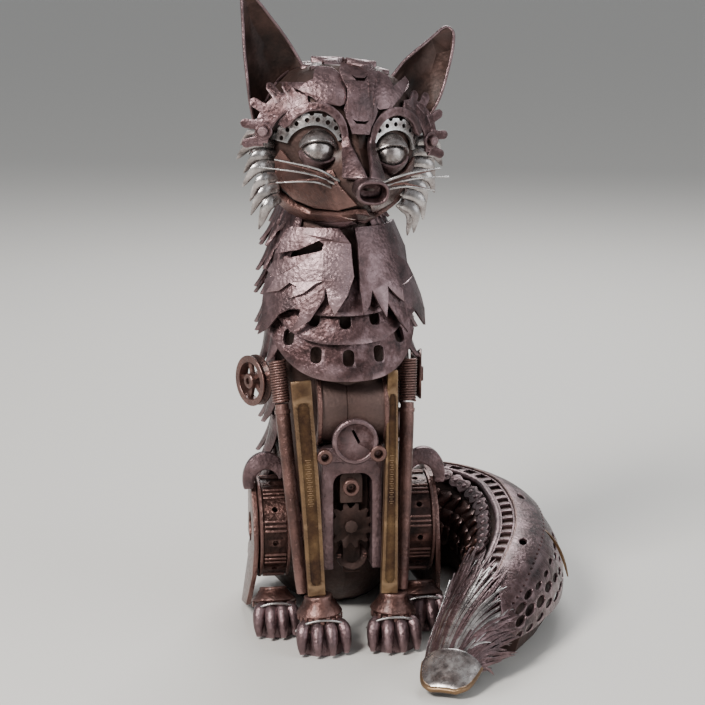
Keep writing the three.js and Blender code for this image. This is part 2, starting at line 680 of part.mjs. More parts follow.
// Haunch plates stand outside the thigh drums, like the cheeks of a big hinge.
function haunchPlate(side) {
  const edge = [
    [-44, 60], [-50, 92], [-40, 128], [-12, 154], [28, 158], [70, 140], [104, 104], [118, 62], [112, 26], [84, 10],
    [30, 8], [-16, 18],
  ];
  const axleHole = ringOutline(thighBack, thighHeight, 17, 17, 8);
  const shape = holed(outline(edge), axleHole, ringOutline(48, 96, 12, 12, 6), ringOutline(78, 56, 9, 9, 5));
  const plate = slab(shape, heavyPlate);
  const outer = thighSpread + thighWidth / 2 + seat;
  const tuck = (back) => 0.0016 * Math.max(back - 10, 0) ** 2; // drawn in behind
  const flare = (height) => 0.0008 * Math.max(110 - height, 0) ** 2; // standing out low down
  return warp(plate, ({ x, y, z }) => v3(side * (outer + z - tuck(x) + flare(y)), x, y));
}

function thighDrum(side) {
  const axis = v3(side, 0, 0);
  const at = v3(side * (thighSpread - thighWidth / 2), thighBack, thighHeight);
  const [r, w] = [thighRadius, thighWidth];
  const rim = [[r - 9, 0], [r, 0], [r, 5], [r - 4, 6], [r - 4, w - 6], [r, w - 5], [r, w]];
  const web = [[16, w], [16, w - 8], [r - 9, w - 8], [r - 9, 0]];
  const drum = turned([...rim, ...web], at, axis, 13);
  const hub = disc(19, w + 16, at.clone().addScaledVector(axis, -22), axis, 8);
  const ribs = Array.from({ length: 4 }, (_, i) => {
    const angle = rad(mix(150, 250, i / 3));
    const [back, up] = [(r - 3) * Math.cos(angle), (r - 3) * Math.sin(angle)];
    const rib = new THREE.BoxGeometry(w - 14, 4, 6).rotateX(angle - Math.PI);
    return rib.translate(side * thighSpread, thighBack + back, thighHeight + up);
  });
  return join(drum, hub, ...ribs);
}

function hook(side) {
  const points = [];
  for (let i = 0; i <= 8; i++) {
    const angle = rad(mix(200, 10, i / 8));
    points.push([86 - 24 * Math.cos(angle), 160 + 30 * Math.sin(angle)]);
  }
  for (let i = 0; i <= 7; i++) {
    const angle = rad(mix(20, 185, i / 7));
    points.push([84 - 14 * Math.cos(angle), 153 + 18 * Math.sin(angle)]);
  }
  return slab(outline(flip(points, side)), 9).rotateX(Math.PI / 2).translate(0, -16, 0);
}

// The right pulley looks out forwards, and the left one lies flat against the side.
const pulleys = {
  right: { at: v3(-92, -27, 271), axis: v3(-0.883, -0.469, 0) },
  left: { at: v3(71, -25, 272), axis: v3(0.985, -0.17, 0) },
};
function pulley(name) {
  const { at, axis } = pulleys[name];
  const [r, w] = [pulleyRadius, pulleyWidth];
  const rim = turned([[r - 7, 0], [r, 0], [r, w], [r - 7, w], [r - 7, 0]], at, axis, 12);
  const hub = turned([[0, 2], [8, 2], [8, w + 2], [0, w + 2]], at, axis, 8);
  const spokes = [0, 1, 2].map((i) => {
    const spoke = new THREE.BoxGeometry(2 * r - 12, 6, 5).rotateY(rad(60 * i + 15)).translate(0, w / 2, 0);
    const turn = new THREE.Quaternion().setFromUnitVectors(v3(0, 1, 0), axis);
    return spoke.applyQuaternion(turn).translate(at.x, at.y, at.z);
  });
  const boss = disc(9, 40, at.clone().addScaledVector(axis, -38), axis, 8);
  return join(rim, hub, boss, ...spokes);
}

function roller() {
  const [r, f, w, t] = [rollerRadius, flangeRadius, rollerWidth, flangeWidth];
  const profile = [[0, 0], [f, 0], [f, t], [r, t], [r, t + w], [f, t + w], [f, t * 2 + w], [0, t * 2 + w]];
  return turned(profile, v3(-w / 2 - t, -58, rollerHeight), v3(1, 0, 0), 18);
}

const facing = v3(0, -1, 0);
const upright = (shape, depth, front) => slab(shape, depth).rotateX(Math.PI / 2).translate(0, front + depth, 0);

// The mechanism between the front legs: a slotted disc on a lever, and the bracket that carries them.
const bracketTop = 197;
const bracketFront = -92;
function bellyBracket() {
  const frame = [
    [-31, 95], [-31, bracketTop], [30, bracketTop], [30, 95], [21, 95], [21, 176], [-20, 176], [-20, 95],
  ];
  const lever = [[-38, 199], [-32, 211], [24, 213], [33, 205], [24, 195], [-30, 192]];
  const slot = [[-6, 231], [-2, 234], [6, 224], [8, 212], [5, 211], [1, 222]];
  const boltAt = (x, z) => disc(8, 9, v3(x, bracketFront - 2, z), facing, 8);
  return join(
    upright(outline(frame), 36, bracketFront),
    upright(outline(lever), 24, bracketFront - 4),
    boltAt(-31, 203),
    boltAt(25, 205),
    upright(holed(outline(ringOutline(1, 218, 24, 24, 16)), slot), 7, bracketFront - 10),
    disc(9, 12, v3(-2, bracketFront + 10, 166), facing, 8),
    upright(outline([[-12, 150], [10, 150], [10, 182], [-12, 182]]), 30, bracketFront + 8),
  );
}

function gear() {
  const teeth = 12;
  const height = 122;
  const points = [];
  for (let i = 0; i < teeth; i++) {
    for (const [part, radius] of [[0.1, 19], [0.35, 25], [0.6, 25], [0.85, 19]]) {
      const angle = ((i + part) / teeth) * 2 * Math.PI;
      points.push([radius * Math.cos(angle) - 1, height + radius * Math.sin(angle)]);
    }
  }
  return join(
    upright(outline(points), heavyPlate, -80),
    disc(7, 30, v3(-1, -55, height), facing, 8),
    turned([[9, 0], [16, 0], [16, 7], [9, 7], [9, 0]], v3(1, -68, 84), v3(0, -0.82, 0.57), 14),
    upright(outline([[-9, 70], [9, 70], [9, height - 2], [-9, height - 2]]), 44, -77),
  );
}

const spannerLine = {
  right: [v3(-54, -84, 281), v3(-47, -103, 168), v3(-42, -117, 58.5)],
  left: [v3(42, -84, 290), v3(38, -102, 168), v3(34, -117, 58.5)],
};
function spanner(name) {
  const wide = name === "right" ? [11, 9.5] : [5.5, 9];
  const deep = name === "right" ? 3.8 : 6;
  return bar(spannerLine[name], (t) => [mix(wide[0], wide[1], t), deep], { up: facing, steps: 4 });
}

const strutLine = {
  right: [v3(-76, -60, 299), v3(-56, -106, 58.5)],
  left: [v3(63, -60, 297), v3(50, -106, 58.5)],
};
// The strut's direction, a place on it and how far it is from there to the foot.
function alongStrut(name, from) {
  const [top, foot] = strutLine[name];
  const axis = foot.clone().sub(top).normalize();
  return { axis, at: top.clone().addScaledVector(axis, from), left: top.distanceTo(foot) - from };
}

function shoulderSpring(name) {
  const { axis, at } = alongStrut(name, 0);
  const profile = [[0, 0]];
  for (let i = 0; i < springTurns; i++) {
    const start = (i / springTurns) * springLength;
    const end = ((i + 1) / springTurns) * springLength;
    profile.push([springRadius - 1.6, start + 0.2], [springRadius, mix(start, end, 0.5)]);
  }
  profile.push([springRadius - 1.6, springLength], [0, springLength]);
  return turned(profile, at, axis, 8);
}

function legStrut(name) {
  const { axis, at, left } = alongStrut(name, springLength + weldGap);
  const [r, waist] = [strutRadius, strutWaist];
  const profile = [[0, 0], [r, 0], [r - 0.5, 30], [waist, left - 40], [r - 1, left - 20], [r - 1, left], [0, left]];
  return turned(profile, at, axis, 8);
}

// A paw is a domed cuff with four bent bars for toes.
function paw(toe, halfWidth, cuff, rim) {
  const ring = (z, at, wide, deep) =>
    Array.from({ length: 10 }, (_, i) => {
      const angle = (i / 10) * 2 * Math.PI;
      return v3(at.x + wide * Math.cos(angle), at.y + deep * Math.sin(angle), z);
    });
  const base = toe.clone().add(v3(0, 34, 0));
  const body = loft([
    ring(0, base, halfWidth - 3, 27),
    ring(rim * 0.55, base, halfWidth - 3, 28),
    ring(rim, base.clone().lerp(cuff, 0.5), halfWidth - 7, 23),
    ring(cuff.z - 7, cuff, 19, 17),
    ring(cuff.z, cuff, 17, 15),
  ]);
  const toes = [-1.5, -0.5, 0.5, 1.5].map((n) => {
    const x = toe.x + (n * (halfWidth - 7)) / 1.5;
    const reach = Math.abs(n) > 1 ? 7 : 0;
    const line = [
      v3(mix(toe.x, x, 0.55), toe.y + 36, rim + 4),
      v3(mix(toe.x, x, 0.9), toe.y + 16 + reach * 0.5, rim - 3),
      v3(x, toe.y + 3 + reach, 15),
      v3(x, toe.y + reach, 6.2),
    ];
    return bar(line, (t) => [mix(5.4, 6.6, t), mix(4.5, 6.2, t)], { up: facing, steps: 2 });
  });
  const ground = new THREE.BoxGeometry(200, 200, 100).translate(toe.x, toe.y, 50);
  return keep(join(body, ...toes), ground);
}

const slotsAt = [-57, -30, 0, 30, 57];
const bands = {
  low: { low: 283, high: 335, rise: 46, lifts: [17, 3], slots: slotsAt },
  middle: { low: 322, high: 364, rise: 36, lifts: [15, 3], slots: slotsAt },
  top: { low: 351, high: 386, rise: 24, lifts: [14, 4], slots: slotsAt.slice(1, 4) },
};
for (const [name, band] of Object.entries(bands)) weld("chest_band_" + name, steel.oxide, chestBand(band));
weld("breast_plate_right", steel.oxide, furPlate(breastRight, 0, sheet));
weld("breast_plate_left", steel.oxide, furPlate(breastLeft, 0, sheet));
weld("bib_plate_right", steel.oxide, furPlate(bibRight, sheet + 0.5, 3));
weld("bib_plate_left", steel.oxide, furPlate(bibLeft, sheet + 0.5, 3));
weld("spine_plate", steel.oxide, spinePlate());
weld("belly_roller", steel.rust, roller());
weld("belly_bracket", steel.oxide, bellyBracket());
weld("belly_gear", steel.dark, gear());
for (const [name] of both) weld("spanner_leg_" + name, steel.brassy, spanner(name));
for (const [name] of both) weld("shoulder_spring_" + name, steel.rust, shoulderSpring(name));
for (const [name] of both) weld("leg_strut_" + name, steel.rust, legStrut(name));
for (const [name] of both) weld("pulley_" + name, steel.rust, pulley(name));
for (const [name, side] of both) weld("mane_plates_" + name, steel.rust, manePlates(side));
for (const [name, side] of both) weld("thigh_drum_" + name, steel.oxide, thighDrum(side));
for (const [name, side] of both) weld("thigh_hook_" + name, steel.oxide, hook(side));
for (const [name, side] of both) weld("haunch_plate_" + name, steel.rust, haunchPlate(side));
for (const [name, side] of both) {
  const cuff = v3(side * (legSpread + 3), -frontToe + 38, 58);
  weld("front_paw_" + name, steel.oxide, paw(v3(side * legSpread, -frontToe, 0), 29, cuff, 34));
}
for (const [name, side] of both) {
  const cuff = v3(side * hindSpread, -hindToe + 46, 46);
  weld("hind_paw_" + name, steel.oxide, paw(v3(side * hindSpread, -hindToe, 0), 25, cuff, 34));
}

// The tail lies on the ground and curls forward round the left side. Its plates are drawn as a distance along it
// and a distance round it, which is measured from the top, outwards.
const tailPoints = [
  [10, 140], [70, 176], [142, 172], [184, 118], [194, 40], [180, -50], [140, -140], [88, -222], [66, -270],
];
const tailPath = new THREE.CatmullRomCurve3(tailPoints.map(([x, y]) => v3(x, y, 0)), false, "centripetal");
const tailLength = tailPath.getLength();
const tailRound = 45; // a plate's width is turned into an angle round the tail at this radius
const tailRows = smoothRows([
  // share of the length, half-width, height
  [0, 40, 112],
  [0.15, 46, 112],
  [0.35, 50, 108],
  [0.55, 50, 100],
  [0.72, 46, 88],
  [0.86, 36, 62],
  [0.95, 27, 34],
  [1, 22, 16],
]);

function tailSurface(along, round, lift) {
  const share = THREE.MathUtils.clamp(along / tailLength, 0, 1);
  const [centre, ahead] = [tailPath.getPointAt(share), tailPath.getTangentAt(share)];
  const outward = v3(-ahead.y, ahead.x, 0);
  const [wide, high] = tailRows(share);
  const angle = round / tailRound;
  const z = high * 0.44 + (high * 0.56 + lift) * Math.cos(angle);
  const over = along - share * tailLength;
  const point = centre.addScaledVector(outward, (wide + lift) * Math.sin(angle)).addScaledVector(ahead, over);
  return point.setZ(Math.max(z, 0));
}

const tailRoot = 36; // where it leaves the body
function tailShell() {
  const [rings, around] = [10, 10];
  const full = 2 * Math.PI * tailRound;
  return loft(
    Array.from({ length: rings }, (_, i) => {
      const along = mix(tailRoot, tailLength * 0.8, i / (rings - 1));
      return Array.from({ length: around }, (_, j) => tailSurface(along, ((j + 0.5) / around) * full, 0));
    }),
  );
}

// A strip laid along the tail, through rings between two distances round it.
function tailRibbon(from, to, steps, edges, near, far, columns = 1) {
  const ring = (t) => {
    const along = mix(from, to, t);
    const [low, high] = edges(t);
    const across = Array.from({ length: columns + 1 }, (_, i) => mix(low, high, i / columns));
    return [
      ...across.map((round) => tailSurface(along, round, near)),
      ...across.reverse().map((round) => tailSurface(along, round, far)),
    ];
  };
  return loft(Array.from({ length: steps + 1 }, (_, i) => ring(i / steps)));
}

// Holes through a strip, each a stub driven through it from outside.
function punched(strip, places, radius, sides) {
  const stubs = places.map(([along, round]) => {
    const [low, high] = [tailSurface(along, round, -3), tailSurface(along, round, 16)];
    return disc(radius, low.distanceTo(high), low, high.clone().sub(low), sides);
  });
  return cut(strip, ...stubs);
}

const evenly = (from, to, count) => Array.from({ length: count }, (_, i) => mix(from, to, i / (count - 1)));
const brushStart = tailLength * 0.66;

function tailChain() {
  const [from, to] = [30, brushStart];
  const half = chainWidth / 2;
  return tailRibbon(from, to, 18, () => [-24 - half, -24 + half], seat, seat + 9);
}

function slottedStrip() {
  const [from, to] = [92, brushStart];
  const strip = tailRibbon(from, to, 11, () => [-13, 11], seat, seat + heavyPlate);
  return punched(strip, evenly(from + 24, to - 24, 6).map((s) => [s, -1]), 5.5, 6);
}

function widePlate() {
  const [from, to, teeth] = [96, brushStart, 7];
  const edges = (t) => [13, Math.round(t * teeth * 2) % 2 ? 40 : 46];
  const plate = tailRibbon(from, to, teeth * 2, edges, seat, seat + sheet);
  return punched(plate, [[tailLength * 0.5, 27], [tailLength * 0.6, 27]], 9, 8);
}

function leafPlate() {
  const [from, to] = [130, tailLength * 0.7];
  const bulge = (t) => Math.sin(Math.PI * mix(0.12, 0.95, t));
  const plate = tailRibbon(from, to, 9, (t) => [64 - 12 * bulge(t), 64 + 18 * bulge(t)], seat, seat + sheet);
  return punched(plate, evenly(from + 60, to - 80, 3).map((s) => [s, 66]), 7, 5);
}

// The brush of the tail: a tapering core with long bent tongues of steel laid along it.
function tailFur() {
  const full = 2 * Math.PI * tailRound;
  const [rings, around] = [4, 10];
  const core = loft(
    Array.from({ length: rings }, (_, i) => {
      const along = mix(tailLength * 0.8 + weldGap, tailLength, i / (rings - 1));
      return Array.from({ length: around }, (_, j) => tailSurface(along, ((j + 0.5) / around) * full, 0));
    }),
  );
  const tongues = Array.from({ length: 7 }, (_, i) => {
    const round = mix(-74, 72, i / 6);
    const start = tailLength * (0.675 + 0.025 * (i % 3));
    const points = [0, 0.35, 0.7, 1].map((t) => {
      const lift = mix(3, 5, Math.sin(t * Math.PI)) + (i % 2) * 2;
      return tailSurface(mix(start, tailLength * 0.96, t), round * mix(1, 0.7, t), lift);
    });
    return bar(points, (t) => [mix(6.5, 2, t), 2.4], { steps: 3 });
  });
  const ground = new THREE.BoxGeometry(600, 700, 200).translate(100, 0, 100);
  return keep(join(core, ...tongues), ground);
}

weld("tail_shell", steel.dark, tailShell());
weld("tail_chain", steel.oxide, tailChain());
weld("tail_slotted_strip", steel.oxide, slottedStrip());
weld("tail_wide_plate", steel.rust, widePlate());
weld("tail_leaf_plate", steel.oxide, leafPlate());
weld("tail_fur", steel.worn, tailFur());

export default fox;
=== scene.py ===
import json
import random
from math import copysign, cos, exp, pi, radians, sin, sqrt, tau

import bpy
from mathutils import Matrix, Vector


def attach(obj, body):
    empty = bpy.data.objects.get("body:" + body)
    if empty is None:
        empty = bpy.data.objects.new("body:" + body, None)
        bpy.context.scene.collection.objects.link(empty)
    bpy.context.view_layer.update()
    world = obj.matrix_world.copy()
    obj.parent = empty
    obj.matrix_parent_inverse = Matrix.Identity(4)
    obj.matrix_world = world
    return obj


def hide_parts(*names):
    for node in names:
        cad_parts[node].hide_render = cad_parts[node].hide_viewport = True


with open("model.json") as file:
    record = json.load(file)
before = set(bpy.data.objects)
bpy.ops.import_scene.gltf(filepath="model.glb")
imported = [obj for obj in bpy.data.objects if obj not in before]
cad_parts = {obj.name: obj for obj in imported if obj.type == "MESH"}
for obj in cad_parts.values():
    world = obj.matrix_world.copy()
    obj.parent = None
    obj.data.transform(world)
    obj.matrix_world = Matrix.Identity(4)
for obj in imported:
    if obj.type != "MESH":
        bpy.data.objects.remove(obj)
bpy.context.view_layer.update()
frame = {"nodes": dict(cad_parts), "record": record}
mm = 0.001
seatBack = 92  # how far the seat's middle is behind the line that the front view is drawn from
sides = {"left": 1, "right": -1}


def deselectAll():
    if bpy.context.object and bpy.context.object.mode != "OBJECT":
        bpy.ops.object.mode_set(mode="OBJECT")
    bpy.ops.object.select_all(action="DESELECT")


def selectOnly(*pieces):
    deselectAll()
    for piece in pieces:
        piece.select_set(True)
    bpy.context.view_layer.objects.active = pieces[0]


def mix(a, b, t):
    return a + (b - a) * t


def clamp(value, low, high):
    return max(low, min(high, value))


def evenSteps(count):
    return [i / count for i in range(count + 1)]


def frontPoint(x, y, z):  # a place read off the front view
    return Vector((x, y - seatBack, z)) * mm


def heading(path, t, step):
    return (path(min(t + step, 1)) - path(max(t - step, 0))).normalized()


def smoothRows(rows):  # a smooth curve through rows of numbers, the first of each being the place along it
    def at(place):
        i = 0
        while i < len(rows) - 2 and place > rows[i + 1][0]:
            i += 1
        before, start, end, after = rows[max(i - 1, 0)], rows[i], rows[i + 1], rows[min(i + 2, len(rows) - 1)]
        span = end[0] - start[0]
        t = clamp((place - start[0]) / span, 0, 1)
        values = []
        for k in range(1, len(start)):
            slopeIn = (end[k] - before[k]) / (end[0] - before[0]) * span
            slopeOut = (after[k] - start[k]) / (after[0] - start[0]) * span
            rise = start[k] * (2 * t**3 - 3 * t**2 + 1) + slopeIn * (t**3 - 2 * t**2 + t)
            values.append(rise + end[k] * (3 * t**2 - 2 * t**3) + slopeOut * (t**3 - t**2))
        return values

    return at


def smoothPath(points):
    points = [Vector(p) for p in points]
    last = len(points) - 1

    def at(t):
        i = min(int(t * last), last - 1)
        w = t * last - i
        p1, p2 = points[i], points[i + 1]
        p0 = points[i - 1] if i > 0 else 2 * p1 - p2
        p3 = points[i + 2] if i + 2 <= last else 2 * p2 - p1
        d0, d1, d2 = [max((a - b).length ** 0.5, 1e-4) for a, b in ((p0, p1), (p1, p2), (p2, p3))]
        m1 = ((p1 - p0) / d0 - (p2 - p0) / (d0 + d1) + (p2 - p1) / d1) * d1
        m2 = ((p2 - p1) / d1 - (p3 - p1) / (d1 + d2) + (p3 - p2) / d2) * d1
        return p1 + m1 * w + (3 * (p2 - p1) - 2 * m1 - m2) * w * w + (2 * (p1 - p2) + m1 + m2) * w**3

    return at


def evenPlaces(spots):  # what turns a distance along a row of spots into a share of the row, and its length
    marks = [0]
    for here, ahead in zip(spots, spots[1:]):
        marks.append(marks[-1] + (ahead - here).length)

    def placeAt(distance):
        low, high = 0, len(marks) - 1
        while high - low > 1:
            middle = (low + high) // 2
            low, high = (middle, high) if marks[middle] <= distance else (low, middle)
        return (low + (distance - marks[low]) / max(marks[high] - marks[low], 1e-9)) / (len(marks) - 1)

    return placeAt, marks[-1]


# Camera, floor and light
stage = {
    "cameraPlace": (-0.3013, -2.3218, 0.77), "cameraDown": 12, "cameraTurn": -8, "lens": 109.3,
    "floorSize": 60, "floorColour": (0.62, 0.6, 0.57, 1), "sky": (0.9, 0.93, 0.96, 1), "skyPower": 0.42,
    "lamps": [
        # name, power, size, place, colour
        ("key", 118, 0.8, (-1.5, -1.7, 2.0), (1.0, 0.97, 0.93)),
        ("fill", 34, 2.2, (2.1, -1.6, 1.2), (0.93, 0.97, 1.0)),
        ("rim", 60, 1.4, (0.6, 1.9, 2.1), (1, 1, 1)),
    ],
}


def makeStage():
    deselectAll()
    turn = (radians(90 - stage["cameraDown"]), 0, radians(stage["cameraTurn"]))
    bpy.ops.object.camera_add(location=stage["cameraPlace"], rotation=turn)
    camera = bpy.context.object
    camera.data.lens = stage["lens"]
    camera.data.sensor_width = 36
    camera.data.clip_start = 0.05
    bpy.context.scene.camera = camera

    bpy.ops.mesh.primitive_plane_add(size=stage["floorSize"])
    floor = bpy.context.object
    floor.name = "floor"
    pale = bpy.data.materials.new("paleFloor")
    pale.use_nodes = True
    shader = pale.node_tree.nodes["Principled BSDF"]
    shader.inputs["Base Color"].default_value = stage["floorColour"]
    shader.inputs["Roughness"].default_value = 0.75
    floor.data.materials.append(pale)

    for name, power, size, place, colour in stage["lamps"]:
        bpy.ops.object.light_add(type="AREA", location=place)
        lamp = bpy.context.object
        lamp.name = name
        lamp.data.energy = power
        lamp.data.size = size
        lamp.data.color = colour
        lamp.rotation_euler = (Vector((0, 0, 0.3)) - Vector(place)).to_track_quat("-Z", "Y").to_euler()

    world = bpy.data.worlds.new("softSky")
    bpy.context.scene.world = world
    world.use_nodes = True
    world.node_tree.nodes["Background"].inputs["Color"].default_value = stage["sky"]
    world.node_tree.nodes["Background"].inputs["Strength"].default_value = stage["skyPower"]


makeStage()
print("stage ready")

# Finishes
# Three colours from dull to bright, how metallic, how rough, how pitted, and how fine the blotches are.
finishes = {
    "oxide": {
        "colours": [(0.015, 0.007, 0.007), (0.068, 0.035, 0.035), (0.2, 0.13, 0.138)],
        "metal": 0.85, "rough": (0.22, 0.5), "pits": 0.75, "blotch": 42,
    },
    "rust": {
        "colours": [(0.016, 0.006, 0.005), (0.058, 0.025, 0.02), (0.15, 0.074, 0.062)],
        "metal": 0.75, "rough": (0.22, 0.5), "pits": 0.8, "blotch": 38,
    },
    "dark": {
        "colours": [(0.009, 0.004, 0.003), (0.026, 0.012, 0.009), (0.062, 0.031, 0.025)],
        "metal": 0.75, "rough": (0.45, 0.72), "pits": 0.5, "blotch": 22,
    },
    "worn": {
        "colours": [(0.05, 0.032, 0.028), (0.24, 0.2, 0.19), (0.56, 0.525, 0.51)],
        "metal": 0.92, "rough": (0.18, 0.42), "pits": 0.3, "blotch": 46,
    },
    "brassy": {
        "colours": [(0.03, 0.012, 0.007), (0.08, 0.04, 0.018), (0.17, 0.1, 0.045)],
        "metal": 0.75, "rough": (0.26, 0.55), "pits": 0.4, "blotch": 34,
    },
}


def makeFinish(name, look):
    material = bpy.data.materials.new(name)
    material.use_nodes = True
    nodes, links = material.node_tree.nodes, material.node_tree.links

    def fill(node, values):  # each named socket gets a link or a value
        for socket, value in values.items():
            if isinstance(value, bpy.types.NodeSocket):
                links.new(value, node.inputs[socket])
            else:
                node.inputs[socket].default_value = value
        return node

    def add(kind, output, values, **traits):
        node = nodes.new("ShaderNode" + kind)
        for trait, value in traits.items():
            setattr(node, trait, value)
        return fill(node, values).outputs[output]

    def ramp(value, stops):
        node = nodes.new("ShaderNodeValToRGB")
        elements = node.color_ramp.elements
        elements[0].position, elements[1].position = stops[0][0], stops[-1][0]
        for place, _ in stops[1:-1]:
            elements.new(place)
        for element, (_, colour) in zip(elements, stops):
            element.color = (*colour, 1)
        return fill(node, {"Fac": value}).outputs["Color"]

    place = nodes.new("ShaderNodeTexCoord").outputs["Object"]
    height = nodes.new("ShaderNodeNewGeometry").outputs["Pointiness"]
    dull, middle, bright = look["colours"]
    smooth, coarse = look["rough"]

    patches = {"Vector": place, "Scale": look["blotch"], "Detail": 9, "Roughness": 0.66}
    base = ramp(add("TexNoise", "Fac", patches), [(0.36, dull), (0.5, middle), (0.68, bright)])
    edge = ramp(height, [(0.5, (0, 0, 0)), (0.6, (0.55, 0.55, 0.55))])
    rubbed = (*[min(c * 1.7 + 0.05, 0.8) for c in bright], 1)
    blend = add("Mix", "Result", {"Factor": edge, "A": base, "B": rubbed}, data_type="RGBA")
    # painted shade: where Pointiness is low (hollows, creases and seams) the colour is multiplied darker,
    # standing in for the shade that falls there
    deep = {"Value": height, "From Min": 0.4, "From Max": 0.495, "To Min": 0.25}
    paintedHollowShade = add("MapRange", "Result", deep)
    hollowShadeMix = {"Factor": 1, "A": blend, "B": paintedHollowShade}
    colour = add("Mix", "Result", hollowShadeMix, data_type="RGBA", blend_type="MULTIPLY")

    grain = add("TexNoise", "Fac", {"Vector": place, "Scale": 170, "Detail": 6, "Roughness": 0.7})
    spread = {"Value": grain, "From Min": 0.3, "From Max": 0.7, "To Min": smooth, "To Max": coarse}
    pits = add("TexVoronoi", "Distance", {"Vector": place, "Scale": 260})
    heights = add("Mix", "Result", {"Factor": 0.35, "A": grain, "B": pits}, data_type="FLOAT")
    bump = {"Height": heights, "Strength": look["pits"], "Distance": 0.0016}
    fill(nodes["Principled BSDF"], {
        "Base Color": colour, "Metallic": look["metal"], "Roughness": add("MapRange", "Result", spread),
        "Normal": add("Bump", "Normal", bump), "Coat Weight": 0.1, "Coat Roughness": 0.22,
    })
    return material


materials = {name: makeFinish(name + "Steel", look) for name, look in finishes.items()}
print("finishes ready")

slotOf = {row["node"]: row["material_slot"] for row in frame["record"]["subparts"]}
replaced = set()


def finishPiece(piece, name, slot, replaces=(), smooth=38):
    selectOnly(piece)
    piece.name = name
    piece.data.materials.clear()
    piece.data.materials.append(materials[slot])
    bpy.ops.object.shade_smooth_by_angle(angle=radians(smooth))
    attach(piece, "root")
    if replaces:
        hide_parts(*replaces)
    return piece


def heroPiece(piece, name, slot, node, smooth=38):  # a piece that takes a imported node's place
    replaced.add(node)
    return finishPiece(piece, name, slot, [node], smooth)


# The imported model's own surfaces
torsoRadius = 75
bodyRows = smoothRows([
    # height, sideways lean, middle, half width, half depth, taper
    (0, 0, 92, 50, 56, 0.1), (14, 0, 82, 64, 76, 0.25), (45, 0, 66, 70, 92, 0.34),
    (100, 0, 50, 70, 102, 0.34), (160, -1, 34, 68, 96, 0.25), (210, -3, 18, 66, 88, 0.12),
    (250, -4, 4, 68, 82, 0.04), (290, -5, -8, 70, 78, 0), (330, -8, -15, 70, 73, 0),
    (370, -11, -18, 66, 65, 0), (410, -14, -20, 60, 57, 0), (446, -16, -22, 53, 50, 0),
    (470, -16, -24, 46, 44, 0),
])


def bodyPoint(across, height, lift):
    angle = across / torsoRadius
    lean, middle, wide, deep, taper = bodyRows(height)
    aside = (wide + lift) * sin(angle) * (1 - taper * cos(angle))
    return frontPoint(lean + aside, middle - (deep + lift) * cos(angle), height)


headPlace = (
    Matrix.Translation(frontPoint(-10, -40, 522))
    @ Matrix.Rotation(radians(10), 4, "Z")
    @ Matrix.Rotation(radians(5), 4, "Y")
)
ridgeRows = smoothRows([
    (-84, 30), (-70, 66), (-56, 96), (-46, 104), (-34, 109), (-24, 104), (-12, 90), (4, 70), (24, 56),
    (50, 40),
])
skull = {"brow": 62, "width": 80, "middle": 8, "half": 78, "back": 56}


def faceDepth(x, z):
    up = min(abs(z - skull["middle"]) / skull["half"], 1)
    out = min(abs(x) / skull["width"], 1)
    dome = skull["brow"] * max(1 - out**2.6 - up**2.6, 0) ** 0.42
    muzzle = ridgeRows(z)[0] - 1.75 * (sqrt(x * x + 90) - 9.5)
    return max(dome, muzzle) + 5 * exp(-abs(dome - muzzle) / 7)


def headPoint(x, y, z):
    return headPlace @ (Vector((x, y, z)) * mm)


def facePoint(x, z, lift):
    slopeX = (faceDepth(x + 2, z) - faceDepth(x - 2, z)) / 4
    slopeZ = (faceDepth(x, z + 2) - faceDepth(x, z - 2)) / 4
    normal = Vector((-slopeX, -1, -slopeZ)).normalized()
    return headPoint(*(Vector((x, -faceDepth(x, z), z)) + normal * lift))


def skullPoint(angle, z, lift):  # all round the head, the angle in degrees from the nose
    up = min(abs(z - skull["middle"]) / skull["half"], 0.999)
    half = skull["width"] * (1 - up**2.4) ** (1 / 2.4) + lift
    turn = radians(angle)
    deep = skull["back"] * sqrt(max(1 - ((z - skull["middle"]) / 84) ** 2, 0)) + lift
    if cos(turn) > 0:
        deep = skull["brow"] * (1 - up**2.6) ** 0.42 + lift
    return headPoint(half * sin(turn), -deep * cos(turn), z)


def bandOnFace(line, t, step, shift):  # a place beside a line drawn on the face
    here, ahead = line(t), heading(line, t, step)
    return here.x + ahead.z * shift, here.z - ahead.x * shift


tailAt = smoothPath([
    (10, 140, 0), (70, 176, 0), (142, 172, 0), (184, 118, 0), (194, 40, 0), (180, -50, 0), (140, -140, 0),
    (88, -222, 0), (66, -270, 0),
])
tailPlaceAt, tailLength = evenPlaces([tailAt(t) for t in evenSteps(600)])
tailRound = 45
tailRows = smoothRows([
    # share of the length, half width, height
    (0, 40, 112), (0.15, 46, 112), (0.35, 50, 108), (0.55, 50, 100), (0.72, 46, 88), (0.86, 36, 62),
    (0.95, 27, 34), (1, 22, 16),
])


def tailPoint(along, around, lift):
    share = clamp(along / tailLength, 0, 1)
    t = tailPlaceAt(share * tailLength)
    ahead = heading(tailAt, t, 0.001)
    outward = Vector((-ahead.y, ahead.x, 0))
    wide, tall = tailRows(share)
    angle = around / tailRound
    z = max(tall * 0.44 + (tall * 0.56 + lift) * cos(angle), 0)
    point = tailAt(t) + outward * (wide + lift) * sin(angle) + ahead * (along - share * tailLength)
    return frontPoint(point.x, point.y, z)


# Tools for modelling
def started(add, **settings):  # a new mesh from one of the ready shapes
    deselectAll()
    add(**settings)
    return bpy.context.object


def editing(piece):
    selectOnly(piece)
    bpy.ops.object.mode_set(mode="EDIT")
    bpy.ops.mesh.select_all(action="SELECT")


def closeUp(piece):  # doubles merged and every face turned out
    editing(piece)
    bpy.ops.mesh.remove_doubles(threshold=0.00001)
    bpy.ops.mesh.normals_make_consistent(inside=False)
    bpy.ops.object.mode_set(mode="OBJECT")
    return piece


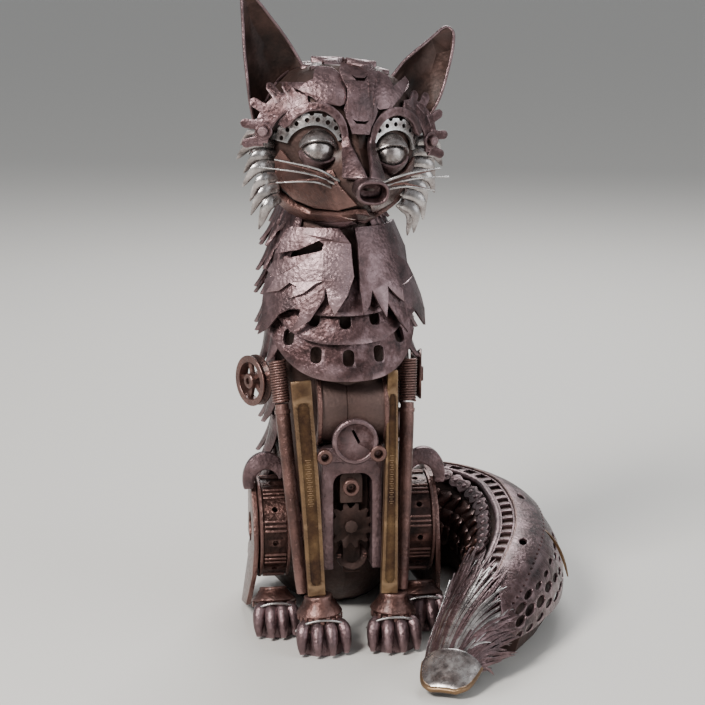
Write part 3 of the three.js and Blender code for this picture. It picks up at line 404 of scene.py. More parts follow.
def useModifier(piece, kind, **settings):
    selectOnly(piece)
    modifier = piece.modifiers.new(kind.lower(), kind)
    for key, value in settings.items():
        setattr(modifier, key, value)
    bpy.ops.object.modifier_apply(modifier=modifier.name)
    return piece


def breakEdges(piece, width, corner=50):
    limits = {"limit_method": "ANGLE", "angle_limit": radians(corner)}
    return useModifier(piece, "BEVEL", width=width * mm, segments=2, **limits)


def joinAll(pieces):
    selectOnly(*pieces)
    if len(pieces) > 1:
        bpy.ops.object.join()
    return bpy.context.view_layer.objects.active


def bentPlate(columns, rows, place):  # a flat grid laid where place(u, v) says
    piece = started(bpy.ops.mesh.primitive_grid_add, x_subdivisions=columns, y_subdivisions=rows, size=1)
    for corner in piece.data.vertices:
        corner.co = place(corner.co.x + 0.5, corner.co.y + 0.5)
    return piece


def thicken(piece, thick, edge=0.5):
    useModifier(piece, "SOLIDIFY", thickness=thick * mm, offset=0, use_even_offset=True)
    closeUp(piece)
    return breakEdges(piece, edge) if edge else piece


def aimed(place, axis):
    return Matrix.Translation(place) @ Vector(axis).to_track_quat("Z", "Y").to_matrix().to_4x4()


def turnedPiece(profile, place, axis, steps=56):  # a closed profile of radius and height, spun round its axis
    piece = started(bpy.ops.mesh.primitive_circle_add, vertices=len(profile), radius=1)
    for corner, (radius, height) in zip(piece.data.vertices, profile):
        corner.co = Vector((max(radius, 0.3), 0, height)) * mm
    editing(piece)
    bpy.ops.mesh.spin(steps=steps, angle=tau, center=(0, 0, 0), axis=(0, 0, 1))
    bpy.ops.object.mode_set(mode="OBJECT")
    closeUp(piece)
    piece.data.transform(aimed(place, axis))
    return piece


def cutPlate(outline, deep, front, edge=0.9):  # an upright plate of a drawn outline, facing forwards
    piece = started(bpy.ops.mesh.primitive_circle_add, vertices=len(outline), radius=1, fill_type="NGON")
    for corner, (x, z) in zip(piece.data.vertices, outline):
        corner.co = frontPoint(x, front + deep / 2, z)
    return thicken(piece, deep, edge)


def arc(x, z, wide, high, start, end, steps=8):
    angles = [radians(mix(start, end, t)) for t in evenSteps(steps)]
    return [(x + wide * cos(angle), z + high * sin(angle)) for angle in angles]


def block(size, place, turn=Matrix.Identity(4), edge=0.6, segments=2):
    piece = started(bpy.ops.mesh.primitive_cube_add, size=1)
    piece.data.transform(Matrix.Diagonal((*[s * mm for s in size], 1)))
    useModifier(piece, "BEVEL", width=edge * mm, segments=segments)
    piece.data.transform(Matrix.Translation(place) @ turn)
    return piece


def rods(lines, resolution=3):  # round bars along lines of (point, radius), the points in metres
    piece = started(bpy.ops.curve.primitive_bezier_curve_add)
    curve = piece.data
    curve.splines.clear()
    curve.dimensions = "3D"
    curve.bevel_depth = mm
    curve.bevel_resolution = resolution
    curve.use_fill_caps = True
    for line in lines:
        spline = curve.splines.new("POLY")
        spline.points.add(len(line) - 1)
        for knot, (point, radius) in zip(spline.points, line):
            knot.co = (*point, 1)
            knot.radius = radius
    bpy.ops.object.convert(target="MESH")
    return closeUp(bpy.context.object)


def drill(piece, cutters):
    cutter = joinAll(cutters)
    useModifier(piece, "BOOLEAN", operation="DIFFERENCE", object=cutter, solver="EXACT")
    bpy.data.objects.remove(cutter, do_unlink=True)
    return piece


def peg(low, high, radius, vertices=14):
    size = {"radius": radius * mm, "depth": (high - low).length}
    cutter = started(bpy.ops.mesh.primitive_cylinder_add, vertices=vertices, **size)
    cutter.data.transform(aimed((low + high) / 2, high - low))
    return cutter


def forSides(make):
    for name, side in sides.items():
        make(name, side)


# Eyes
eye = {"spread": 38, "height": -3, "back": 56, "ball": 16, "lid": 21, "wall": 2.4, "flat": 0.965}


def makeEye(name, side):
    radius = eye["ball"] * mm
    ball = started(bpy.ops.mesh.primitive_uv_sphere_add, segments=48, ring_count=24, radius=radius)
    pupil = [corner for corner in ball.data.vertices if corner.co.y < -0.93 * radius]
    for corner in pupil:  # a shallow flat where the pupil sits
        corner.co.y *= eye["flat"]
    middle = Vector((side * eye["spread"], -eye["back"], eye["height"])) * mm
    ball.data.transform(headPlace @ Matrix.Translation(middle))
    heroPiece(ball, name + "EyeBall", "worn", "eye_" + name, smooth=60)

    def lid(top):
        def place(u, v):
            x = mix(-1, 1, u)
            gape = 1 - x * x
            mouth = 10.5 * gape**0.6 + 1.5 * side * x if top else -10.5 * gape**0.7 - 0.6
            rim = (eye["lid"] - 0.5) * sqrt(max(1 - (x * 0.97) ** 2, 0)) * (1 if top else -1)
            across, up = x * (eye["lid"] - 0.6) * mix(0.92, 0.97, v), mix(mouth, rim, v)
            reach = eye["lid"] - 1.3 + (2.4 if top else 0.6) * (1 - v) * gape
            deep = sqrt(max(reach**2 - across**2 - up**2, 9))
            return headPoint(side * eye["spread"] + across, 1.5 - eye["back"] - deep, eye["height"] + up)

        return thicken(bentPlate(32, 8, place), eye["wall"], 0.7)

    heroPiece(lid(True), name + "UpperLid", "worn", "eyelids_" + name)
    heroPiece(lid(False), name + "LowerLid", "oxide", "eyelids_" + name)


forSides(makeEye)
print("eyes ready")

# Straps round the eyes, with a row of holes and half-round bites out of the outer edge
strap = {
    "middle": (41, -2), "inner": 23.5, "outer": 35, "thick": 2.4, "lift": 2.8, "ends": (24, 172),
    # radius of the row, how many, first and last angle, radius of each
    "rows": [(29, 8, (31, 165), 2.5), (35, 7, (40, 156), 2.6)],
}


def makeStrap(name, side):
    def strapPoint(degrees, radius):
        middle, height = strap["middle"]
        angle = radians(degrees)
        return side * (middle - radius * cos(angle)), radius * sin(angle) + height

    def place(u, v):
        spot = strapPoint(mix(*strap["ends"], u), mix(strap["inner"], strap["outer"], v))
        return facePoint(*spot, strap["lift"])

    piece = thicken(bentPlate(64, 4, place), strap["thick"], 0)
    cutters = []
    for radius, count, ends, hole in strap["rows"]:
        for t in evenSteps(count - 1):
            spot = strapPoint(mix(*ends, t), radius)
            cutters.append(peg(facePoint(*spot, -4), facePoint(*spot, 10), hole))
    heroPiece(drill(piece, cutters), name + "EyeStrap", "worn", "eye_strap_" + name, smooth=30)


forSides(makeStrap)
print("eye straps ready")

# The heavy wishbone from the nose round both brows
wishbone = {
    "thick": 5, "lift": 6.5, "edge": 1.7,
    "line": smoothPath([
        (8.5, 0, -28), (9, 0, -16), (9.5, 0, -2), (13, 0, 14), (21, 0, 30), (34, 0, 38.5), (47, 0, 38),
        (59, 0, 31), (68, 0, 17),
    ]),
}


def makeWishbone():
    arms = []
    for side in (1, -1):
        def place(u, v):
            half = mix(8, 4, clamp(u * 4, 0, 1)) * (1 if u < 0.97 else 0.75)
            x, z = bandOnFace(wishbone["line"], u, 0.01, (v - 0.5) * 2 * half)
            return facePoint(side * x, z, wishbone["lift"])

        arms.append(thicken(bentPlate(64, 4, place), wishbone["thick"], wishbone["edge"]))
    heroPiece(joinAll(arms), "noseBridge", "oxide", "nose_bridge")


makeWishbone()

# The nose is a short end of heavy oval tube, and its lip goes out, round and back down the bore
nose = {
    "wide": 17, "high": 12.5, "front": 130, "height": -36,
    "lip": smoothRows([
        (0, 22, 1.5), (0.2, 12, 0.4), (0.4, 2.4, 0), (0.47, 0.5, 0.9), (0.53, 0, 2), (0.6, 0.6, 3.2),
        (0.68, 3, 4), (0.8, 9, 5), (0.94, 15, 5), (1, 16, 11),
    ]),
}


def squared(value):
    return copysign(abs(value) ** 0.8, value)


def makeNose():
    def place(u, v):
        along, wall = nose["lip"](v)
        x = (nose["wide"] - wall) * squared(cos(tau * u))
        z = (nose["high"] - wall) * squared(sin(tau * u))
        return headPoint(x, -nose["front"] + along - 0.12 * z, nose["height"] + z + 0.12 * along)

    heroPiece(closeUp(bentPlate(48, 28, place)), "nose", "oxide", "nose", smooth=60)


makeNose()

# Whiskers of steel wire, three to a side
whisker = {"root": 1.5, "tip": 0.7, "steps": 14, "tips": [(88, -76, -13), (101, -68, -22), (84, -74, -36)]}


def makeWhiskers():
    lines = []
    for side in (1, -1):
        for k, (x, y, z) in enumerate(whisker["tips"]):
            out, down = 22 + 2 * k, -30 - 4 * k
            start = Vector((side * out, -faceDepth(out, down) - 2, down))
            tip = Vector((side * x, y, z))
            path = smoothPath([start, start.lerp(tip, 0.35) + Vector((side * 2, -9, 5)), tip])
            steps = evenSteps(whisker["steps"])
            lines.append([(headPoint(*path(t)), mix(whisker["root"], whisker["tip"], t)) for t in steps])
    finishPiece(rods(lines, 2), "whiskers", "worn", smooth=60)


makeWhiskers()

# Fork tines bent into the ruff of the cheeks
ruff = {"tines": 7, "wide": 6.2, "thick": 2.2}


def makeRuff(name, side):
    claws = []
    for row in range(2):
        for i in range(ruff["tines"]):
            share = i / (ruff["tines"] - 1)
            start = Vector((side * mix(76, 66, share), mix(-22, -32, share) + 10 * row, mix(6, -56, share)))
            reach = mix(34, 18, share * share) * (1 if row == 0 else 0.9) * (1.08 if i % 2 else 0.92)
            tip = start + Vector((side * reach, 4 + 4 * row, -mix(8, 30, share) - 5 * row))
            path = smoothPath([start, start.lerp(tip, 0.5) + Vector((side * 4, -8, 8)), tip])

            def place(u, v):
                flat = heading(path, v, 0.02).cross(Vector((0, 1, 0))).normalized()
                half = ruff["wide"] * (1 - v**1.7) ** 0.8 * mix(0.7, 1, min(v * 3, 1)) + 0.5
                shift = (u - 0.5) * 2 * half
                return headPoint(*(path(v) + flat * shift + Vector((0, 0.08 * shift * shift, 0))))

            claws.append(bentPlate(4, 12, place))
    heroPiece(thicken(joinAll(claws), ruff["thick"], 0.5), name + "Ruff", "worn", "cheek_ruff_" + name)


forSides(makeRuff)
print("face ready")

# Temple plates with round fingers, each held by a bolt
temple = {
    "band": smoothPath([(49, 0, 44), (62, 0, 42.5), (75, 0, 36), (85, 0, 24), (89, 0, 11), (89, 0, -1)]),
    "fingers": [
        ((59, 43), (67, 57)), ((72, 41), (83, 55)), ((84, 30), (101, 39)), ((89, 16), (110, 17)),
        ((89, 2), (107, -4)),
    ],
    "wide": 5.4, "thick": 2.6, "lift": 3,
    "bolt": [(0.3, 0), (9, 0), (9, 2.6), (8.2, 3.4), (5.6, 3.6), (5.4, 7.4), (4.4, 8.4), (0.3, 8.6)],
}


def flaredPoint(x, z, lift):  # past the cheek the face goes on as a flat flare
    side = 1 if x > 0 else -1
    over = max(abs(x) - 64, 0)
    flare = Vector((side * over * 0.95, over * 0.5, 0)) * mm
    return facePoint(x - side * over, z, lift) + headPlace.to_3x3() @ flare


def makeTemple(name, side):
    def band(u, v):
        half = 9 * sin(pi * mix(0.17, 0.86, u)) ** 0.6
        x, z = bandOnFace(temple["band"], u, 0.02, (v - 0.5) * 2 * half)
        return flaredPoint(side * x, z, temple["lift"])

    parts = [bentPlate(30, 6, band)]
    for (x0, z0), (x1, z1) in temple["fingers"]:
        start, tip = Vector((x0, 0, z0)), Vector((x1, 0, z1))
        aside = (tip - start).normalized().cross(Vector((0, 1, 0)))

        def finger(u, v):
            end = sqrt(max(1 - max((v - 0.75) / 0.25, 0) ** 2, 0.02))
            half = temple["wide"] * mix(1.25, 0.85, min(v * 2.4, 1)) * end
            spot = start.lerp(tip, v) + aside * (u - 0.5) * 2 * half
            return flaredPoint(side * spot.x, spot.z, temple["lift"] + 0.2 + 2 * v * v)

        parts.append(bentPlate(4, 14, finger))
    plates = thicken(joinAll(parts), temple["thick"], 0.6)
    axis = headPlace.to_3x3() @ Vector((side * 0.5, -0.95, 0))
    bolt = turnedPiece(temple["bolt"], flaredPoint(side * 88, 11, 3), axis, 24)
    heroPiece(joinAll([plates, bolt]), name + "TemplePlate", "oxide", "temple_plate_" + name, smooth=30)


forSides(makeTemple)

# A raised lip round the edge of each ear
earShapes = {
    "right": {
        "rows": smoothRows([(20, 66, 34), (52, 68, 33), (90, 79, 29), (120, 93, 19), (152, 109, 5)]),
        "edge": [
            (91, 19), (98, 40), (104, 72), (108, 110), (110, 151), (95, 139), (80, 123), (64, 105), (50, 86),
            (39, 66), (36, 50),
        ],
    },
    "left": {
        "rows": smoothRows([(20, 74, 30), (52, 80, 32), (84, 90, 28), (108, 104, 17), (128, 112, 6)]),
        "edge": [
            (92, 19), (107, 50), (115, 82), (119, 110), (117, 123), (110, 126), (94, 114), (74, 98), (58, 81),
            (47, 64), (50, 46),
        ],
    },
}


def makeEarLip(name, side):
    edge = smoothPath([(x, 0, z) for x, z in earShapes[name]["edge"]])
    line = []
    for t in evenSteps(80):
        here = edge(t)
        middle, half = earShapes[name]["rows"](here.z)
        off = clamp((here.x - middle) / half, -1.1, 1.1)
        y = -8 + (here.z - 20) * 0.1 + half * 0.62 * (1 - off * off) - 1.6
        line.append((headPoint(side * here.x, y, here.z), 1.7))
    finishPiece(rods([line], 3), name + "EarLip", "oxide", smooth=60)


forSides(makeEarLip)
print("ears ready")

# Chest bands: slotted sectors of clutch discs
bandSpread = 76
slotSize = {"wide": 12, "high": 17, "corner": 5, "up": 24}
bands = {
    "low": {"low": 283, "high": 335, "rise": 46, "lifts": (17, 3), "slots": (-57, -30, 0, 30, 57)},
    "middle": {"low": 322, "high": 364, "rise": 36, "lifts": (15, 3), "slots": (-57, -30, 0, 30, 57)},
    "top": {"low": 351, "high": 386, "rise": 24, "lifts": (14, 4), "slots": (-30, 0, 30)},
}


def makeBand(name, band):
    def climb(across):
        return band["rise"] * abs(across / bandSpread) ** 3

    def place(u, v):
        across = mix(-bandSpread, bandSpread, u)
        height = mix(band["low"], band["high"], v) + climb(across)
        return bodyPoint(across, height, mix(*band["lifts"], v) + 1.5)

    piece = thicken(bentPlate(72, 8, place), 3, 0)
    cutters = []
    for across in band["slots"]:
        height = band["low"] + slotSize["up"] + climb(across)
        inside, outside = bodyPoint(across, height, 0), bodyPoint(across, height, 40)
        size = (slotSize["wide"], slotSize["high"], (outside - inside).length / mm)
        turn = aimed((0, 0, 0), outside - inside)
        cutters.append(block(size, (inside + outside) / 2, turn, slotSize["corner"], 4))
    breakEdges(drill(piece, cutters), 0.7)
    heroPiece(piece, name + "ChestBand", "oxide", "chest_band_" + name, smooth=30)


for name, band in bands.items():
    makeBand(name, band)
print("chest bands ready")

# Drums: three ribs in a row, then a plain stretch with a hole
drum = {
    "radius": 55, "width": 32, "spread": 78, "back": -3, "height": 103, "groups": 9, "ribs": (0, 5.4, 10.8),
    "hole": 3.3, "holeAt": 25.4, "hub": [(0.3, -21), (17, -21), (19, -19), (19, 3), (8, 6), (0.3, 6)],
}


def makeDrum(name, side):
    r, w = drum["radius"], drum["width"]
    axis = Vector((side, 0, 0))
    start = frontPoint(side * (drum["spread"] - w / 2), drum["back"], drum["height"])
    profile = [
        (r - 9, 0), (r - 0.7, 0), (r, 0.7), (r, 2.6), (r - 0.7, 3.3), (r - 2.4, 3.8), (r - 2.4, w - 3.8),
        (r - 0.7, w - 3.3), (r, w - 2.6), (r, w - 0.7), (r - 0.7, w), (18, w), (16, w - 2), (16, w - 6),
        (20, w - 8), (r - 9, w - 8),
    ]
    shell = turnedPiece(profile, start, axis, 72)
    middle = start + axis * (w / 2) * mm

    def outward(degrees):
        angle = radians(degrees)
        return angle, Vector((0, cos(angle), sin(angle))) * mm

    ribs, holes = [], []
    for i in range(drum["groups"]):
        first = 360 * i / drum["groups"]
        for degrees in drum["ribs"]:
            angle, out = outward(first + degrees)
            turn = Matrix.Rotation(angle - pi / 2, 4, "X")
            ribs.append(block((w - 9, 2.4, 4), middle + out * (r - 2.2), turn, 0.7))
        _, out = outward(first + drum["holeAt"])
        holes.append(peg(middle + out * (r - 14), middle + out * (r + 4), drum["hole"]))
    parts = [drill(shell, holes), *ribs, turnedPiece(drum["hub"], start, axis, 32)]
    heroPiece(joinAll(parts), name + "ThighDrum", "rust", "thigh_drum_" + name, smooth=30)


# The roller behind the disc of the belly
roller = {"radius": 37, "flange": 41, "width": 74, "back": -58, "height": 246}


def makeRoller():
    r, f, w = roller["radius"], roller["flange"], roller["width"]
    start = frontPoint(-w / 2, roller["back"], roller["height"])
    groove = [(r, 30), (r - 0.4, 30.6), (r - 0.4, 31.2), (r, 31.8)]
    barrel = [(0.3, 3), (r, 3), *groove, (r, w - 3), (0.3, w - 3)]
    heroPiece(turnedPiece(barrel, start, (1, 0, 0), 72), "bellyRoller", "dark", "belly_roller", smooth=30)
    ring = [(r - 6, 0), (f - 1, 0), (f, 1), (f, 3.5), (f - 1, 4.5), (r - 6, 4.5)]
    rings = [[(radius, low + height) for radius, height in ring] for low in (0, w - 4.5)]
    flanges = joinAll([turnedPiece(profile, start, (1, 0, 0), 72) for profile in rings])
    heroPiece(flanges, "bellyRollerFlanges", "rust", "belly_roller", smooth=30)


# Pulleys on the shoulders
pulley = {
    "places": {
        "right": {"at": (-92, -27, 271), "axis": (-0.883, -0.469, 0)},
        "left": {"at": (71, -25, 272), "axis": (0.985, -0.17, 0)},
    },
    "rim": [
        (20, 0.6), (20.6, 0), (26.4, 0), (27, 0.6), (27, 2), (23.6, 6), (27, 10), (27, 11.4), (26.4, 12),
        (20.6, 12), (20, 11.4),
    ],
    "hub": [(0.3, 1), (7, 1), (8, 2), (8, 13), (7, 14), (3.4, 14), (3, 12), (0.3, 12)],
    "post": [(0.3, -38), (9, -38), (9, 1), (0.3, 1)],
    "spokes": 5,
}


def makePulley(name, side):
    place = pulley["places"][name]
    axis = Vector(place["axis"]).normalized()
    start = frontPoint(*place["at"])
    rounds = (("rim", 48), ("hub", 28), ("post", 24))
    parts = [turnedPiece(pulley[part], start, axis, steps) for part, steps in rounds]
    for i in range(pulley["spokes"]):
        turn = aimed((0, 0, 0), axis) @ Matrix.Rotation(tau * i / pulley["spokes"] + 0.3, 4, "Z")
        spot = start + axis * 6 * mm + turn @ Vector((0, 14 * mm, 0))
        parts.append(block((5.5, 14, 4.5), spot, turn, 1.2))
    heroPiece(joinAll(parts), name + "Pulley", "rust", "pulley_" + name, smooth=30)


makeRoller()
for name, side in sides.items():
    makeDrum(name, side)
    makePulley(name, side)
print("drums and pulleys ready")

# The bracket of the belly with its arched window, and the slotted disc on its lever
bracket = {
    "front": -92, "deep": 36, "outer": (-33, 30), "inner": (-21, 20), "foot": 78, "top": 197, "arch": 170,
    "corner": 12, "round": 5,
    "disc": [(0.3, 0), (24, 0), (24, 6), (22.6, 7.4), (20, 7.6), (19, 6.8), (0.3, 6.8)],
}


def makeBracket():
    front, deep, foot, top = [bracket[key] for key in ("front", "deep", "foot", "top")]
    arch, c, r = [bracket[key] for key in ("arch", "corner", "round")]
    (left, right), (inLeft, inRight) = bracket["outer"], bracket["inner"]
    corners = [*arc(left + r, top - r, r, r, 180, 90), *arc(right - r, top - r, r, r, 90, 0)]
    window = [*arc(inRight - c, arch, c, c, 0, 90), *arc(inLeft + c, arch, c, c, 90, 180)]
    outline = [(left, foot), *corners, (right, foot), (inRight, foot), *window, (inLeft, foot)]
    lever = [*arc(-31, 203, 8, 8, 100, 260, 12), *arc(25, 205, 8, 8, -80, 80, 12)]
    disc = turnedPiece(bracket["disc"], frontPoint(1, front - 3, 218), (0, -1, 0), 56)
    slot = block((3, 30, 16), frontPoint(1.5, front - 7, 224), Matrix.Rotation(radians(-26), 4, "Y"), 1)
    parts = [cutPlate(outline, deep, front, 1.2), cutPlate(lever, 24, front - 4, 1), drill(disc, [slot])]
    heroPiece(joinAll(parts), "bellyBracket", "oxide", "belly_bracket", smooth=30)
    back = [(-13, 148), (11, 148), *arc(3, 174, 8, 8, 0, 90), *arc(-5, 174, 8, 8, 90, 180)]
    finishPiece(cutPlate(back, 30, front + 8, 1), "bellyBracketBack", "dark")


# The hooks over the drums
hook = {"thick": 9, "front": -25, "outer": (86, 160, 24, 30), "inner": (84, 153, 14, 18)}


def makeHook(name, side):
    def rim(shape, angles):
        x, z, wide, high = shape
        return [(side * (x - wide * cos(radians(a))), z + high * sin(radians(a))) for a in angles]

    outline = rim(hook["outer"], range(200, 5, -8)) + rim(hook["inner"], range(20, 190, 8))
    plate = cutPlate(outline, hook["thick"], hook["front"], 1.6)
    heroPiece(plate, name + "ThighHook", "oxide", "thigh_hook_" + name, smooth=30)


makeBracket()
forSides(makeHook)

# Socket-headed bolts of the belly: place and radius
socketBolts = [(-31, -94, 203, 8), (25, -94, 205, 8.6), (-2, -82, 166, 9)]


def makeBellyBolts():
    parts = []
    for x, y, z, r in socketBolts:
        socket = [(2, 0), (2, 4), (r - 4.5, 4), (r - 4.5, 9)]
        head = [*socket[2:], (r - 3.6, 10.4), (r - 1, 10.4), (r, 9.4), (r, 1), (r - 1, 0), *socket[:2]]
        parts.append(turnedPiece(head, frontPoint(x, y, z), (0, -1, 0), 24))
    finishPiece(joinAll(parts), "bellyBolts", "rust", smooth=30)


# Teeth round the lower half of the belly's ring, which leans back
ringTeeth = {"count": 13, "from": 170, "to": 370, "middle": (1, -75, 87.5), "radius": 14, "size": (1.6, 3, 4)}


def makeRingTeeth():
    teeth = []
    for t in evenSteps(ringTeeth["count"] - 1):
        angle = radians(mix(ringTeeth["from"], ringTeeth["to"], t))
        out = Vector((cos(angle), -0.57 * sin(angle), 0.82 * sin(angle)))
        spot = frontPoint(*ringTeeth["middle"]) + out * ringTeeth["radius"] * mm
        teeth.append(block(ringTeeth["size"], spot, Matrix.Rotation(pi / 2 - angle, 4, "Y"), 0.4))
    finishPiece(joinAll(teeth), "bellyRingTeeth", "rust", smooth=30)


makeBellyBolts()
makeRingTeeth()

# Coil springs on a core, and the round bars that carry on below them
struts = {
    "right": [(-76, -60, 299), (-56, -106, 58.5)],
    "left": [(63, -60, 297), (50, -106, 58.5)],
}
coil = {"radius": 8.2, "wire": 1.3, "turns": 16, "length": 46, "core": 6.4, "steps": 20}
strutBar = {"top": 7.8, "foot": 6.4, "collar": 8.3, "collarAt": (0.03, 0.05), "steps": 12, "gap": 0.6}


def makeSpring(name):
    top, foot = [frontPoint(*place) for place in struts[name]]
    axis = (foot - top).normalized()
    turn = axis.to_track_quat("Z", "Y").to_matrix()
    line = []
    for t in evenSteps(coil["turns"] * coil["steps"]):
        angle = tau * coil["turns"] * t
        along = coil["wire"] + (coil["length"] - 2 * coil["wire"]) * t
        point = Vector((coil["radius"] * cos(angle), coil["radius"] * sin(angle), along))
        line.append((top + turn @ point * mm, coil["wire"]))
    core = [(top + axis * along * mm, coil["core"]) for along in (1, coil["length"] - 1)]
    heroPiece(rods([line, core], 2), name + "ShoulderSpring", "rust", "shoulder_spring_" + name, smooth=50)


def makeStrut(name):
    top, foot = [frontPoint(*place) for place in struts[name]]
    start = top + (foot - top).normalized() * (coil["length"] + strutBar["gap"]) * mm
    line = []
    for t in evenSteps(strutBar["steps"]):
        radius = mix(strutBar["top"], strutBar["foot"], t)
        line.append((start.lerp(foot, t), radius - (0.7 if t in (0, 1) else 0)))
    collar = [(start.lerp(foot, t), strutBar["collar"]) for t in strutBar["collarAt"]]
    heroPiece(rods([line, collar], 5), name + "LegStrut", "rust", "leg_strut_" + name, smooth=50)


for name in struts:
    makeSpring(name)
    makeStrut(name)
print("springs ready")

# Spanners for the front legs: a long recess with a row of shallow strokes that aren't letters
spanners = {
    "right": {"line": [(-54, -84, 281), (-47, -103, 168), (-42, -117, 58.5)], "wide": (11, 9.5), "deep": 3.8},
    "left": {"line": [(42, -84, 290), (38, -102, 168), (34, -117, 58.5)], "wide": (5.5, 9), "deep": 6},
}
recess = {
    "ends": (0.1, 0.95), "share": 0.58, "depth": 0.45, "round": 28,
    "strokes": 22, "strokesAt": (0.36, 0.58), "reaches": (0.3, 0.16), "stroke": 0.45,
}


def makeSpanner(name):
    shape = spanners[name]
    path = smoothPath([(x, y - seatBack, z) for x, y, z in shape["line"]])

    def face(t, across, out):
        ahead = heading(path, t, 0.01)
        sideways = ahead.cross(Vector((0, -1, 0))).normalized()
        front = sideways.cross(ahead).normalized()
        if front.y > 0:
            front = -front
        return (path(t) + sideways * across * mix(*shape["wide"], t) + front * out) * mm

    def trenchPlace(u, v):
        end = min(v, 1 - v) * recess["round"]
        narrow = sqrt(max(end * (2 - end), 0.03)) if end < 1 else 1
        return face(mix(*recess["ends"], v), mix(-1, 1, u) * recess["share"] * narrow, shape["deep"] + 0.8)

    bar = bentPlate(2, 60, lambda u, v: face(v, mix(-0.98, 0.98, u), 0))
    thicken(bar, 2 * shape["deep"] - 0.4, 1.4)
    drill(bar, [thicken(bentPlate(4, 90, trenchPlace), 2 * (recess["depth"] + 1), 0)])
    lines = []
    for i in range(recess["strokes"]):
        t = mix(*recess["strokesAt"], i / recess["strokes"])
        reach, out = recess["reaches"][i % 2], shape["deep"] - recess["depth"]
        lines.append([(face(t, -reach, out), recess["stroke"]), (face(t, reach, out), recess["stroke"])])
    heroPiece(joinAll([bar, rods(lines, 1)]), name + "Spanner", "brassy", "spanner_leg_" + name, smooth=30)


for name in spanners:
    makeSpanner(name)
print("spanners ready")

# Paws: a bell-shaped cuff with a torn hem, four bent bars for toes on a dome, and a worn rim over them
paws = {
    "front": {"spread": 37, "toe": -150, "half": 29, "cuff": 40, "cuffBack": -112, "cuffTop": 58},
    "hind": {"spread": 80, "toe": -88, "half": 25, "cuff": 80, "cuffBack": -42, "cuffTop": 46},
}
toe = {"rim": 34, "radius": 6.9, "steps": 18}
cuff = {
    # radius, share of the cuff's height
    "bell": [
        (0.3, 0), (21, 0), (21, 0.5), (23.5, 0.58), (24, 0.61), (23.4, 0.65), (18, 0.8), (15, 0.92),
        (14.6, 0.98), (13.8, 1), (0.3, 1),
    ],
    "hemAt": 0.55, "hemRadius": 23.3, "hemBlocks": 11, "hemBlock": (1.8, 4.4, 6), "hemDrop": 1.6,
}


def makeCuff(kind, name, top, foot):
    rise = (top - foot).length / mm
    bell = turnedPiece([(radius, share * rise) for radius, share in cuff["bell"]], foot, top - foot, 40)
    hem = []
    for i in range(cuff["hemBlocks"]):
        angle = radians(mix(195, 345, i / (cuff["hemBlocks"] - 1)))
        drop = -cuff["hemDrop"] * (i % 2)
        out = Vector((cuff["hemRadius"] * cos(angle), cuff["hemRadius"] * sin(angle), drop))
        turn = Matrix.Rotation(angle, 4, "Z")
        hem.append(block(cuff["hemBlock"], foot.lerp(top, cuff["hemAt"]) + out * mm, turn, 0.6))
    heroPiece(joinAll([bell, *hem]), name + kind.title() + "Cuff", "rust", kind + "_paw_" + name, smooth=35)


def makePaw(kind, name, side):
    shape = paws[kind]
    middle, front, half = side * shape["spread"], shape["toe"] - seatBack, shape["half"]
    dome = started(bpy.ops.mesh.primitive_uv_sphere_add, segments=48, ring_count=24, radius=1)
    dome.data.transform(Matrix.Diagonal(((half - 4) * mm, 26 * mm, (toe["rim"] + 3) * mm, 1)))
    editing(dome)
    bpy.ops.mesh.bisect(plane_co=(0, 0, 0.0004), plane_no=(0, 0, 1), clear_inner=True, use_fill=True)
    bpy.ops.object.mode_set(mode="OBJECT")
    dome.data.transform(Matrix.Translation(Vector((middle, front + 35, 0)) * mm))
    top = frontPoint(side * shape["cuff"], shape["cuffBack"], shape["cuffTop"])
    makeCuff(kind, name, top, Vector((middle, front + 36, 12)) * mm)

    lines = []
    for n in (-1.5, -0.5, 0.5, 1.5):
        x = middle + n * (half - 6) / 1.5
        reach = 7 if abs(n) > 1 else 0
        path = smoothPath([
            (mix(middle, x, 0.72), front + 24, toe["rim"] - 2),
            (mix(middle, x, 0.92), front + 13 + reach * 0.6, toe["rim"] - 6),
            (x, front + 4.5 + reach, 15),
            (x, front + 1.5 + reach, 3.4),
        ])
        steps = evenSteps(toe["steps"])
        lines.append([(path(t) * mm, toe["radius"] * sin(pi * mix(0.32, 0.87, t))) for t in steps])
    body = joinAll([dome, rods(lines, 4)])
    heroPiece(body, name + kind.title() + "Paw", "oxide", kind + "_paw_" + name, smooth=45)

    rim = []
    for t in evenSteps(32):
        angle = pi * mix(0.13, 0.87, t)
        y, z = front + 30.5 - 18 * sin(angle) ** 0.8, 7 + 31 * sin(angle) ** 0.6
        rim.append((Vector((middle - (half + 1.5) * cos(angle), y, z)) * mm, 1.4))
    heroPiece(rods([rim], 3), name + kind.title() + "PawRim", "worn", kind + "_paw_" + name, smooth=60)


for kind in paws:
    for name, side in sides.items():
        makePaw(kind, name, side)
print("paws ready")


# Plates that lie along the tail
def tailLine(around, start, end):  # places along a line on the tail: mm along it, mm aside, lift
    def onTail(share, aside, lift):
        return tailPoint(share * tailLength, around(share)[0] + aside, lift)

    placeAt, length = evenPlaces([onTail(mix(start, end, t), 0, 4) / mm for t in evenSteps(240)])

    def spot(distance, aside, lift):
        return onTail(mix(start, end, placeAt(distance)), aside, lift)

    return spot, length


# Roller chain: plates like a figure of eight, each end over the last, with a pin through both
chain = {
    "around": smoothRows([(0.04, -9), (0.24, -17), (0.33, -23), (0.44, -25), (0.54, -28.5), (0.74, -28)]),
    "ends": (0.06, 0.74), "pitch": 19, "lobe": 9.2, "half": 7.4, "waist": 5.2, "thick": 2.2,
    "lifts": (3, 6.2), "pin": 2.6,
}


